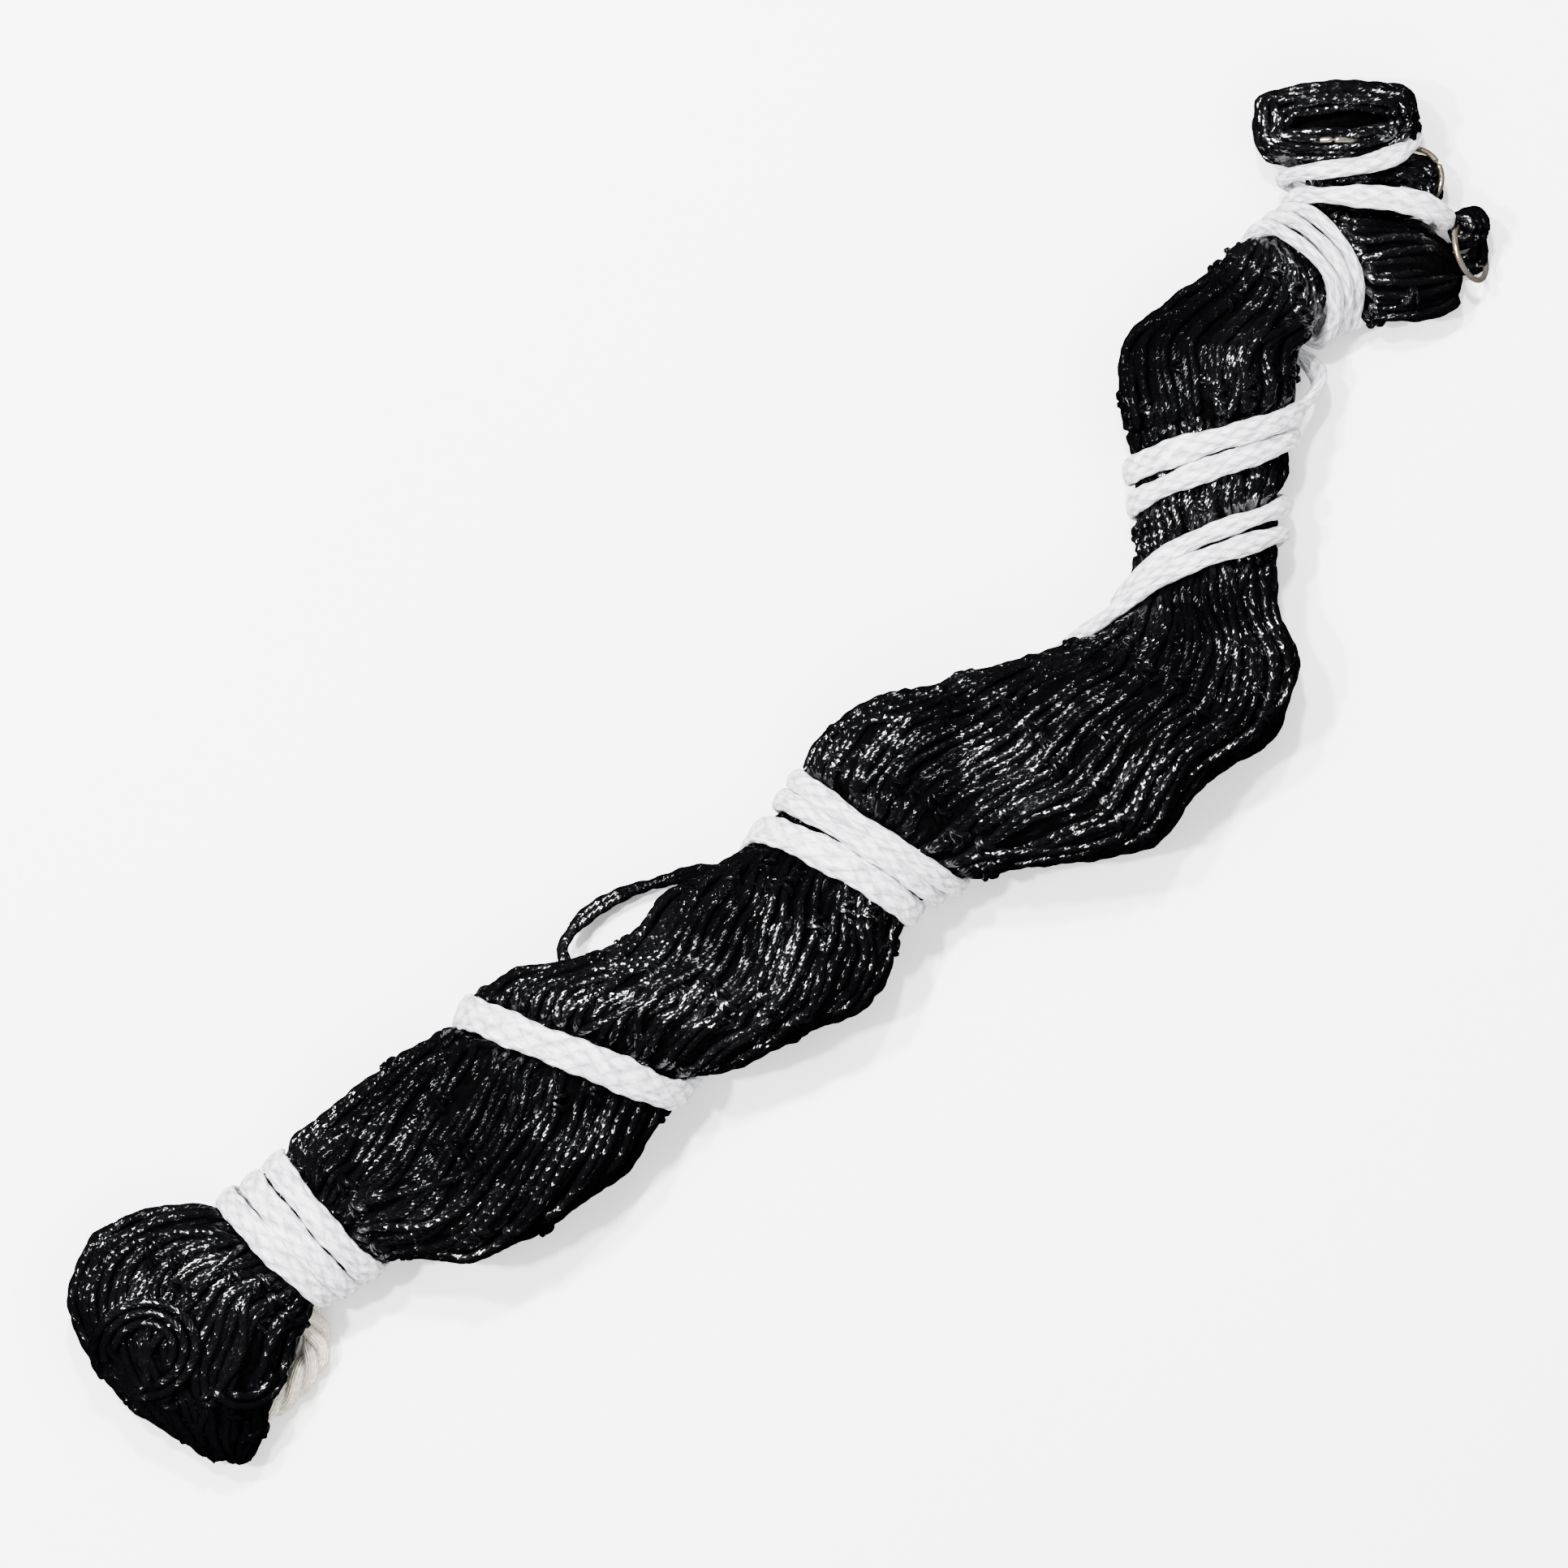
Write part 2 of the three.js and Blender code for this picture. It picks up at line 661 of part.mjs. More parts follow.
for (const [name, ring] of Object.entries(fixedRings)) {
  part.add(toMesh(name, ringSolid(ring), STEEL));
}

// The origin is below the middle of the whole bundle, on the plane that it lies on.
const box = new THREE.Box3().setFromObject(part);
const middle = box.getCenter(new THREE.Vector3());
part.position.set(-middle.x, -middle.y, 0);

export default part;
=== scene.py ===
"""Tennis net gathered into a bundle and lashed with a white braided cord.

The netting is laid as braided twine over the shape of each packed netting solid, and the cords
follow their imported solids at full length. Lengths are in metres; MM turns millimetres into them.
"""

import json
import math

import bpy
import numpy as np
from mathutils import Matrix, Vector
from mathutils.bvhtree import BVHTree
from mathutils.kdtree import KDTree


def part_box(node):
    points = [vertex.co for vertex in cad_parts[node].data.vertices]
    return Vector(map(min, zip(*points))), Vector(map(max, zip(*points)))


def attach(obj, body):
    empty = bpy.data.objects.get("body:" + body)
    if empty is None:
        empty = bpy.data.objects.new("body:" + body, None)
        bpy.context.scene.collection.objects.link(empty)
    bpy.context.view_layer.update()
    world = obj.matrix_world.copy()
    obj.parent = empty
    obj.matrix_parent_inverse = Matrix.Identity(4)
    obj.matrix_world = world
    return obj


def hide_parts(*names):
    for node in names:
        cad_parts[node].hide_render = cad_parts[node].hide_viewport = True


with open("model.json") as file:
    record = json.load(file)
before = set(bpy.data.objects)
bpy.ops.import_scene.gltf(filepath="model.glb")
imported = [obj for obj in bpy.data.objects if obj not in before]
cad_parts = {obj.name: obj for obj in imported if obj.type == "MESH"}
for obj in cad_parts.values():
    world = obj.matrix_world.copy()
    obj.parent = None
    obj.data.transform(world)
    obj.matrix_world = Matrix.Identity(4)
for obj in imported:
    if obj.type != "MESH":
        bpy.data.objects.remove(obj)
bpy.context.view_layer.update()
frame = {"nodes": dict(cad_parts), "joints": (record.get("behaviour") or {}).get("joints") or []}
MM = 0.001
TURN = 2 * math.pi
rng = np.random.default_rng(7)

# ---- Twine ----
TWINE = 1.45 * MM  # radius of the braided twine
LOOP_TWINE = 1.75 * MM  # radius of the slack loop's twines, which hang loose
MESH_BAR = 45 * MM  # netting from one knot to the next
PLAIT_PITCH = 6.6 * MM  # along the twine, from one bump of its braid to the next
PLAIT_STRANDS = 2  # strands of its braid running each way
PLAIT_DEPTH = 0.26  # of the twine's radius
PLAIT_LONG = 0.4  # shape of a plait along its length: 1 is a plain sine, less is flatter on top
PLAIT_WIDE = 0.8  # and across its width
PLAIT_MEAN = 0.6  # height of a braid's mean surface, with its hollows at 0 and its crests at 1

# ---- Netting ----
STRAND_PITCH = 3.25 * MM  # from one twine to the next where the bundle is widest
SINK = 1.3 * MM  # depth of the outer twines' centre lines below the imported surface
INNER_SINK = 3.9 * MM  # and of the inner twines'
CORE_SINK = 3.6 * MM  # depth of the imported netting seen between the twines
CROWDED_SINK = 2.4 * MM  # extra depth of half the twines where the bundle is narrow
BUNCHES = 7  # ridges of netting round the bundle
BUNCH_DEPTH = 2.2 * MM  # from the ridges to the valleys between them
SWING = 0.27  # of the twines' pitch, from side to side between knots
KNOT_CLEAR = 4 * MM  # least distance from a knot to a seam
SEAM_LAP = 1 * MM  # twines run past a seam by this
# Angle of the twines to the bundle and to a fold of the head: shares of the length, and degrees
TWIST = [(0, 2), (0.13, 8), (0.2, 20), (0.33, 27), (0.5, 24), (0.66, 14), (0.8, 14), (1, 4)]
INNER_TWIST = [(share, 0.55 * degrees) for share, degrees in TWIST]
HEAD_TWIST = [(0, 12), (1, 12)]

# ---- Cords ----
CORD_PITCH = 7.5 * MM  # along the lashing cord, from one bump of its braid to the next
CORD_STRANDS = 6  # strands of its braid running each way
CORD_DEPTH = 0.11  # of the cord's half width and half thickness
ROPE_SWELL = 1.28  # the loose strands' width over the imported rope's
ROPE_LAY = 26 * MM  # length of one turn of the border rope's strands
LOOP_CROSSING = 38 * MM  # along the slack loop, from one crossing of its twines to the next

# ---- Whipped corner, and curls on the tuft ----
# The whipping at the corner: height of each wrap along the ring's wire, and its radius
EYE_WRAPS = [
    (-5.4 * MM, 3.2 * MM), (-3.0 * MM, 4.6 * MM), (-0.3 * MM, 5.0 * MM), (2.4 * MM, 4.7 * MM),
    (5.0 * MM, 3.4 * MM), (-3.0 * MM, 2.4 * MM), (2.4 * MM, 2.4 * MM),
]
# Bights of netting that hang from the corner through the free ring, mm
EYE_BIGHTS = [
    [(268.6, 41, 12), (270.6, 36.5, 10), (270, 31, 7), (267.4, 26.6, 5), (263, 27.6, 4.6), (258, 32, 6)],
    [(267, 40, 8), (268.4, 36, 6), (267.6, 31, 5), (265, 28.8, 3.6), (261, 31, 3), (256.6, 34.6, 4)],
    [(267.6, 41, 15), (268.2, 36, 13), (266.8, 31.5, 10), (264.4, 30, 8), (260.5, 31.5, 8), (256, 35, 9)],
    [(269.4, 41, 6), (270.4, 37, 4), (270, 32.6, 3), (266.4, 25.6, 2.4), (262, 26.4, 2.2), (257, 30, 3)],
    [(270.5, 42, 9), (271.6, 38.5, 7), (270.6, 34.5, 4.5), (267, 33.5, 2.4), (262, 35, 2.2), (257, 38, 3)],
]
# Curls on the tuft: middle x, y and outer radius in mm, first and last angle, number of twines
TUFT_CURLS = [
    ((-257.5, -57.5), 14.5, -130, 190, 3),
    ((-234, -80), 9.5, 170, 350, 2),
]
CURL_PITCH = 3.1  # mm from one twine of a curl to the next

# ---- Spines of the gathered netting: x, y and the heading of its cross-section, mm and degrees ----
BUNDLE_SPINE = [
    (-259, -100, 309),
    (-260, -84, 307),
    (-256, -72, 307),
    (-252, -62, 306),
    (-243, -54, 303),
    (-232, -49, 299),
    (-220, -48, 290),
    (-212, -50, 286),
    (-195, -50, 284),
    (-171, -52, 283),
    (-147, -54, 282),
    (-117, -52, 293),
    (-99, -44, 309),
    (-72, -44, 312),
    (-44, -50, 307),
    (-18, -43, 304),
    (9, -34, 305),
    (28, -32, 301),
    (55, -38, 297),
    (86, -38, 298),
    (115, -40, 304),
    (134, -30, 315),
    (142, -16, 323),
    (149, -7, 329),
    (159, 10, 334),
    (169, 28, 336),
    (179, 45, 329),
    (193, 50, 318),
    (209, 56, 303),
    (219, 68, 325),
]
HEAD_SPINES = {
    "net_head_roll": [
        (227.5, 94.5, 250), (232, 94, 243), (242.5, 89, 244), (252.5, 85, 249),
        (261.5, 79.5, 249), (267, 76.5, 243), (269.5, 74.5, 238),
    ],
    "net_head_middle_fold": [
        (232, 73, 270), (248.5, 67.5, 253), (259, 61.5, 247), (265, 56.5, 247),
        (268, 52.5, 248),
    ],
    "net_head_lower_fold": [
        (227, 63.5, 256), (232.5, 53, 250), (233.5, 43.5, 240), (240.5, 38.5, 239),
        (248.5, 33.5, 239), (254.5, 29, 245), (259, 26, 248), (261, 24.5, 237),
    ],
}
HEAD_CORES = {  # depth of each fold's core, over CORE_SINK
    "net_head_roll": 1.9,
    "net_head_middle_fold": 1.3,
    "net_head_lower_fold": 0.8,
}
# Loops of twine laid round a fold: middle x, y, heading in degrees, half length and half width in mm,
# then the wraps, each its inset from the outermost loop and its height in mm
HANKS = {
    "net_head_roll": (248.5, 86.0, -27.0, 24.5, 11.8, [
        (2.5, 2.0), (1.2, 5.0), (0.4, 8.0), (0.0, 11.0), (0.0, 14.0), (0.3, 17.0), (1.0, 20.0),
        (2.2, 22.8), (4.0, 25.6), (6.2, 27.2), (3.0, 18.6), (3.2, 13.5), (5.8, 22.0), (8.2, 25.2),
        (7.6, 18.6), (4.4, 9.0),
    ]),
    "net_head_middle_fold": (249.5, 63.6, -26.0, 19.6, 9.6, [
        (1.2, 2.4), (0.2, 5.2), (0.0, 8.0), (1.8, 15.6), (3.2, 17.8), (5.4, 19.4), (3.0, 9.4), (4.2, 13.0),
        (7.4, 18.6),
    ]),
}
# Stretches of the bundle's outer twines: they part under the lashings, where the seams are hidden
STRETCHES = {
    "tuft": ["net_tail_tuft"],
    "bulge_1": ["net_bulge_1"],
    "bulge_2": ["net_bulge_2"],
    "bulge_3_elbow": ["net_bulge_3", "net_elbow"],
    "bulge_4": ["net_bulge_4"],
    "neck": ["net_neck"],
}
DULL_STRETCHES = ["tuft", "neck"]  # where the twine has lost some of its gloss


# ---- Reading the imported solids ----
def welded(node, near=0.002 * MM):
    """The node's vertices and triangles, with vertices as near as that joined."""
    data = frame["nodes"][node].data
    points = np.empty(len(data.vertices) * 3)
    data.vertices.foreach_get("co", points)
    points = points.reshape(-1, 3)
    data.calc_loop_triangles()
    corners = np.empty(len(data.loop_triangles) * 3, int)
    data.loop_triangles.foreach_get("vertices", corners)
    _, first, same = np.unique(np.round(points / near), axis=0, return_index=True, return_inverse=True)
    return points[first], same.ravel()[corners].reshape(-1, 3)


def tube_rings(node, sides=8):
    """Rings of corners along a packed tube, found by walking its corners from one end cap to the
    other. Each ring is in the same order round the tube."""
    points, triangles = welded(node)
    around = [set() for _ in points]
    for corners in triangles:
        for corner in corners:
            around[corner].update(int(c) for c in corners)
    layer = end_cap(points, triangles, around)
    seen, layers = set(), []
    while layer:
        layers.append(points[sorted(layer)])
        seen |= layer
        layer = set().union(*(around[i] for i in layer)) - seen
    return ordered([ring for ring in layers if len(ring) == sides])


def end_cap(points, triangles, around, parallel=0.999):
    """The corners of a tube's flat end cap, all of whose triangles meet at one corner."""
    fan = max(range(len(points)), key=lambda i: (len(around[i]), points[i][0] < 0))
    mine = triangles[(triangles == fan).any(axis=1)]
    a, b, c = (points[mine[:, k]] for k in range(3))
    normals = unit(np.cross(b - a, c - a))
    alike = (normals @ normals.T) > parallel
    flat = mine[alike[alike.sum(axis=1).argmax()]]
    return set(int(corner) for corner in flat.ravel())


def ordered(rings):
    """The same rings with their corners sorted round the tube and matched from ring to ring."""
    centres = np.array([ring.mean(axis=0) for ring in rings])
    forward = unit(np.gradient(centres, axis=0))
    done = []
    for ring, centre, ahead in zip(rings, centres, forward):
        offsets = ring - centre
        x = unit(offsets[np.linalg.norm(offsets, axis=1).argmax()])
        y = np.cross(ahead, x)
        order = np.argsort(np.arctan2(offsets @ y, offsets @ x))
        ring = ring[order]
        if done:
            last = done[-1] - done[-1].mean(axis=0)
            turns = [np.roll(ring, k, axis=0) for k in range(len(ring))]
            ring = min(turns, key=lambda r: ((r - centre - last) ** 2).sum())
        done.append(ring)
    return done


def tube_path(node, sides=8, reach=50 * MM):
    """A packed flat tube as its centre line, its way across, its way out of the turn it is on, and
    its size along each of the two."""
    rings = np.array(tube_rings(node, sides))
    centres = rings.mean(axis=1)
    s = lengths(centres)
    across, out = [], []
    for ring, centre, at in zip(rings, centres, s):
        away = centre - centres[np.abs(s - at) < reach].mean(axis=0)
        spans = np.array([pair_span(ring, k, sides) for k in range(sides)])
        widest = int(np.argmax(np.linalg.norm(spans, axis=1)))
        flats = [(widest + k * sides // 4) % sides for k in range(4)]
        best = max(flats, key=lambda k: spans[k] @ away / (spans[k] @ spans[k]))
        out.append(spans[best])
        across.append(spans[best - sides // 4])
    shrink = 1 / math.cos(math.pi / sides)
    width = np.linalg.norm(across, axis=1) * shrink
    thick = np.linalg.norm(out, axis=1) * shrink
    return centres, unit(np.array(across)), unit(np.array(out)), width, thick


def pair_span(ring, k, sides):
    """From one flat of a ring to the opposite one, flat k being between corners k and k + 1."""
    here = (ring[k % sides] + ring[(k + 1) % sides]) / 2
    there = (ring[(k + sides // 2) % sides] + ring[(k + sides // 2 + 1) % sides]) / 2
    return there - here


# ---- Curves ----
def unit(v):
    """The same vectors, a metre long."""
    return v / np.maximum(np.linalg.norm(v, axis=-1, keepdims=True), 1e-12)


def spline(values, per_span):
    """Rows of values joined by a smooth curve, with some places from one row to the next."""
    rows = np.asarray(values, float)
    if rows.ndim == 1:
        rows = rows[:, None]
    ends = np.vstack([2 * rows[0] - rows[1], rows, 2 * rows[-1] - rows[-2]])
    t = np.linspace(0, len(rows) - 1, (len(rows) - 1) * per_span + 1)
    i = np.minimum(t.astype(int), len(rows) - 2)
    f = (t - i)[:, None]
    a, b, c, d = ends[i], ends[i + 1], ends[i + 2], ends[i + 3]
    return 0.5 * (
        2 * b + (c - a) * f + (2 * a - 5 * b + 4 * c - d) * f**2 + (3 * b - a - 3 * c + d) * f**3
    )


def lengths(points):
    """How far along their line each of the points is."""
    steps = np.linalg.norm(np.diff(points, axis=0), axis=1)
    return np.concatenate([[0], np.cumsum(steps)])


def resampled(points, step, *others):
    """Points spaced evenly along their line, and other values that go with them."""
    along = lengths(points)
    count = max(2, int(round(along[-1] / step)) + 1)
    at = np.linspace(0, along[-1], count)

    def spread(values):
        if values.ndim == 1:
            return np.interp(at, along, values)
        return np.stack([np.interp(at, along, column) for column in values.T], axis=1)

    return [spread(values) for values in (points, *others)]


def wander(s, wavelength, size):
    """A smooth random wave along s, of three sines whose lengths don't fit in each other."""
    waves = [(wavelength * k, rng.uniform(0, TURN), rng.uniform(0.5, 1)) for k in (0.61, 1.0, 1.73)]
    total = sum(weight * np.sin(TURN * s / w + start) for w, start, weight in waves)
    return size * total / 1.6


def dome(s, reach, least):
    """Rises like a dome from least at both ends of s to 1, over some reach."""
    from_end = np.clip(np.minimum(s, s[-1] - s) / reach, 0, 1)
    return np.maximum(np.sqrt(1 - (1 - from_end) ** 2), least)


# ---- Meshes ----
def mesh_object(name, points, quads, uvs=None):
    """A smooth object from arrays of points, quads and the quads' corner UVs."""
    data = bpy.data.meshes.new(name)
    data.vertices.add(len(points))
    data.vertices.foreach_set("co", np.asarray(points, np.float32).ravel())
    data.loops.add(len(quads) * 4)
    data.loops.foreach_set("vertex_index", np.asarray(quads, np.int32).ravel())
    data.polygons.add(len(quads))
    data.polygons.foreach_set("loop_start", np.arange(0, len(quads) * 4, 4, dtype=np.int32))
    data.polygons.foreach_set("use_smooth", np.full(len(quads), True))
    if uvs is not None:
        layer = data.uv_layers.new(name="along")
        layer.data.foreach_set("uv", np.asarray(uvs, np.float32).ravel())
    data.update(calc_edges=True)
    data.validate()
    made = bpy.data.objects.new(name, data)
    bpy.context.scene.collection.objects.link(made)
    return made


def wall(index):
    """The quads of a tube, from its rows of corner numbers."""
    here, there = index[:-1], index[1:]
    return np.stack([here, np.roll(here, -1, 1), np.roll(there, -1, 1), there], axis=-1)


def cap(ring):
    """A strip of quads that closes a ring of corner numbers."""
    half = len(ring) // 2
    return np.array([(ring[k], ring[k + 1], ring[-2 - k], ring[-1 - k]) for k in range(half - 1)])


class Tubes:
    """Collects closed tubes into one mesh. UV: length along the tube in mm, and turns round it."""

    def __init__(self):
        self.points, self.quads, self.uvs, self.count = [], [], [], 0

    def add(self, path, out, width, thick, sides=8, relief=None, taper=1.5 * MM):
        """A tube of an oval section; relief(u, v) raises the surface by a share of its radius."""
        n = len(path)
        forward = unit(np.gradient(path, axis=0))
        across = unit(np.cross(forward, out))
        outward = np.cross(across, forward)
        u = lengths(path)
        v = np.arange(sides) / sides
        size = dome(u, taper, 0.05)[:, None] / 2
        if relief is not None:
            size = size * (1 + relief(u[:, None], v[None, :]))
        x = np.cos(TURN * v) * np.broadcast_to(width, n)[:, None] * size
        y = np.sin(TURN * v) * np.broadcast_to(thick, n)[:, None] * size
        rings = path[:, None] + across[:, None] * x[..., None] + outward[:, None] * y[..., None]
        rings[..., 2] = np.maximum(rings[..., 2], 0)
        index = self.count + np.arange(n * sides).reshape(n, sides)
        self.points.append(rings.reshape(-1, 3))
        self.quads.append(wall(index).reshape(-1, 4))
        self.uvs.append(self._wall_uvs(u / MM, v))
        self.count += n * sides
        for end in (index[0][::-1], index[-1]):
            self.quads.append(cap(end))
            self.uvs.append(np.zeros((len(self.quads[-1]) * 4, 2)))

    def _wall_uvs(self, u, v):
        """The UVs of the quads that wall() makes, corner by corner."""
        shape = (len(u) - 1, len(v))
        low, high = (np.broadcast_to(part[:, None], shape) for part in (u[:-1], u[1:]))
        left = np.broadcast_to(v, shape)
        right = left + 1 / len(v)
        corners = [(low, left), (low, right), (high, right), (high, left)]
        return np.stack([np.stack(c, axis=-1) for c in corners], axis=2).reshape(-1, 2)

    def make(self, name):
        return mesh_object(
            name, np.concatenate(self.points), np.concatenate(self.quads), np.concatenate(self.uvs)
        )


def dress(piece, material, body="bundle", nodes=()):
    """Gives a piece its material, the body it rides on and the nodes it stands for."""
    piece.data.materials.clear()
    piece.data.materials.append(material)
    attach(piece, body)
    if nodes:
        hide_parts(*nodes)


# ---- The shape of the gathered netting ----
def without_caps(nodes, near=1.0 * MM):
    """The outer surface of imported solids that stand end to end, as a BVH tree."""
    solids = {node: welded(node) for node in nodes}
    trees = {node: BVHTree.FromPolygons(p.tolist(), t.tolist()) for node, (p, t) in solids.items()}
    points, triangles = [], []
    for node, (corners, faces) in solids.items():
        others = [tree for other, tree in trees.items() if other != node]
        middles = corners[faces].mean(axis=1)
        for face, middle in zip(faces, middles):
            found = (tree.find_nearest(Vector(middle), near)[0] for tree in others)
            if not any(spot is not None for spot in found):
                start = len(points)
                points.extend(corners[face].tolist())
                triangles.append((start, start + 1, start + 2))
    return BVHTree.FromPolygons(points, triangles)


class Skin:
    """A grid over a gathered stretch: rows along its spine, columns round it from the left edge
    over the top. place(s, w, depth) is a point at length s, share w of the way round."""

    def __init__(self, nodes, stations, columns=96, step=2.5 * MM, rays=120, reach=60 * MM,
                 rounding=8 * MM, least_hits=0.6):
        tree = without_caps(nodes)
        spine = spline(stations, 24)
        middle = np.column_stack([spine[:, :2] * MM, np.zeros(len(spine))])
        middle, heading = resampled(middle, step, np.radians(spine[:, 2]))
        rows = []
        for (x, y, _), angle in zip(middle, heading):
            across = Vector((math.cos(angle), math.sin(angle), 0))
            row = self._row(tree, Vector((x, y, 0)), across, rays, reach)
            if sum(hit is not None for hit in row) > least_hits * rays:
                rows.append(self._even(self._filled(row), columns))
        grid = self._smoothed(np.array(rows))
        self.s = lengths(grid.mean(axis=1))
        self.length = self.s[-1]
        middles = grid.mean(axis=1, keepdims=True)
        self.grid = middles + (grid - middles) * dome(self.s, rounding, 0.08)[:, None, None]
        sides = np.diff(self.grid, axis=1, append=self.grid[:, :1])
        self.around = np.linalg.norm(sides, axis=2).sum(axis=1)
        self.normals = self._normals()

    def _row(self, tree, foot, across, rays, reach):
        """Where rays cast round one section meet the solids, with None for each that misses."""
        top = tree.ray_cast(foot + Vector((0, 0, 90 * MM)), Vector((0, 0, -1)))[0]
        height = top.z if top else 20 * MM
        centre = foot + Vector((0, 0, 0.45 * height))  # the section is widest a little below its middle
        row = []
        for k in range(rays):
            turn = TURN * k / rays
            way = -across * math.cos(turn) + Vector((0, 0, math.sin(turn)))
            hit = tree.ray_cast(centre, way, reach)[0]
            row.append(None if hit is None else np.array(hit))
        return row

    def _filled(self, row):
        """The row with its gaps closed by the nearest hit."""
        known = [k for k, hit in enumerate(row) if hit is not None]
        for k, hit in enumerate(row):
            if hit is None:
                row[k] = row[min(known, key=lambda j: abs(j - k))]
        return np.array(row)

    def _even(self, row, columns):
        """The row's outline at evenly spaced points."""
        closed = np.vstack([row, row[:1]])
        along = lengths(closed)
        at = np.linspace(0, along[-1], columns, endpoint=False)
        return np.stack([np.interp(at, along, closed[:, k]) for k in range(3)], axis=1)

    def _smoothed(self, grid, times=2):
        for _ in range(times):
            between = (grid[:-2] + grid[2:]) / 2
            grid[1:-1] = (grid[1:-1] + between) / 2
            grid = (2 * grid + np.roll(grid, 1, 1) + np.roll(grid, -1, 1)) / 4
        return grid

    def _normals(self):
        along = np.gradient(self.grid, axis=0)
        round_it = np.roll(self.grid, -1, 1) - np.roll(self.grid, 1, 1)
        normals = unit(np.cross(round_it, along))
        outward = self.grid - self.grid.mean(axis=1, keepdims=True)
        return normals if (normals * outward).sum() > 0 else -normals

    def _mixed(self, table, s, w):
        """Values of a table over the grid, at places between its rows and columns."""
        rows, columns = table.shape[:2]
        i = np.clip(np.interp(s, self.s, np.arange(rows)), 0, rows - 1.001)
        j = np.mod(w, 1) * columns
        i0, j0 = i.astype(int), j.astype(int) % columns
        fi, fj = (i - i0)[:, None], (j - np.floor(j))[:, None]
        j1 = (j0 + 1) % columns
        low = table[i0, j0] * (1 - fj) + table[i0, j1] * fj
        high = table[i0 + 1, j0] * (1 - fj) + table[i0 + 1, j1] * fj
        return low * (1 - fi) + high * fi

    def place(self, s, w, depth):
        """Points below the skin and the ways out of it there."""
        normal = unit(self._mixed(self.normals, s, w))
        return self._mixed(self.grid, s, w) - normal * np.reshape(depth, (-1, 1)), normal

    def round_at(self, s):
        """The distance round the skin at length s."""
        return np.interp(s, self.s, self.around)

    def core(self, name, depth):
        """A closed dark body just below the skin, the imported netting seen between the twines."""
        middles = self.grid.mean(axis=1, keepdims=True)
        reach = np.linalg.norm(self.grid - middles, axis=2, keepdims=True)
        points = middles + (self.grid - middles) * np.maximum(1 - depth / reach, 0.1)
        points[..., 2] = np.maximum(points[..., 2], 0)
        index = np.arange(points.shape[0] * points.shape[1]).reshape(points.shape[:2])
        quads = [wall(index).reshape(-1, 4), cap(index[0][::-1]), cap(index[-1])]
        return mesh_object(name, points.reshape(-1, 3), np.concatenate(quads))


# ---- Twines over a skin ----
def braid(u, v, pitch, strands):
    """Height of a braid's plaits, 0 in the hollows to 1 on the crests; v is in turns round it."""
    right = np.sin(np.pi * (u / pitch + strands * v))
    left = np.sin(np.pi * (u / pitch - strands * v))
    over = right * left > 0
    long = np.where(over, np.abs(right), np.abs(left))
    wide = np.where(over, np.abs(left), np.abs(right))
    return long**PLAIT_LONG * wide**PLAIT_WIDE


def plaits(u, v):
    """The relief of a braided twine, as a share of its radius."""
    return PLAIT_DEPTH * (braid(u, v, PLAIT_PITCH, PLAIT_STRANDS) - PLAIT_MEAN)


def twine(tubes, path, out, radius=TWINE, sides=8):
    """One braided twine along a path."""
    tubes.add(path, out, 2 * radius, 2 * radius, sides, relief=plaits)


def lay(pieces, cuts, base, path, out, sides=8):
    """One twine, cut at the seams between pieces: pieces[k] lies from cuts[k] to cuts[k + 1]."""
    for piece, low, high in zip(pieces, cuts[:-1], cuts[1:]):
        mine = (base > low - SEAM_LAP) & (base < high + SEAM_LAP)
        twine(piece, path[mine], out[mine], sides=sides)


def zigzag(s, row):
    """From -1 to 1 and back over two mesh bars, with rounded corners at the knots."""
    turn = np.pi * (s / MESH_BAR + row)
    return np.sin(turn) * 0.85 - np.sin(3 * turn) * 0.10


def knot(tubes, place, along, out):
    """Two wraps of twine round the pair that meets at a knot of the mesh, leaning apart."""
    side = np.cross(along, out)
    turns = np.linspace(0, TURN, 15)
    cos, sin = np.cos(turns)[:, None], np.sin(turns)[:, None]
    for way in (-1, 1):
        wide = (2.5 * side + 0.99 * way * along) * MM
        path = place + 1.35 * MM * way * along + cos * wide + sin * 1.6 * MM * out
        tubes.add(path, unit(cos * side + sin * out), 2.1 * MM, 2.1 * MM, sides=6, taper=0.5 * MM)


def add_knots(pieces, cuts, path, out, row, step):
    """Knots a mesh bar apart along a twine that starts at the first cut, clear of the seams."""
    for piece, low, high in zip(pieces, cuts[:-1], cuts[1:]):
        for number in range(int(low / MESH_BAR) - 1, int(high / MESH_BAR) + 2):
            at = (number + 0.5 - row) * MESH_BAR
            if low + KNOT_CLEAR < at < high - KNOT_CLEAR:
                k = int((at - cuts[0]) / step)
                knot(piece, path[k] + out[k] * 0.2 * MM, unit(path[k + 1] - path[k]), out[k])


def flow(s, i, wavelength, size):
    """A wave along s that neighbouring twines share, so that they meander side by side."""
    slow = np.sin(TURN * s / wavelength + 0.55 * i)
    fast = np.sin(TURN * s / (0.57 * wavelength) - 0.9 * i + 2)
    return size * (slow + 0.6 * fast)


def slope_of(skin, twist):
    """The angle of twines to a skin, as a function of the length along it."""
    shares, degrees = zip(*twist)
    return lambda s: np.radians(np.interp(s / skin.length, shares, degrees))


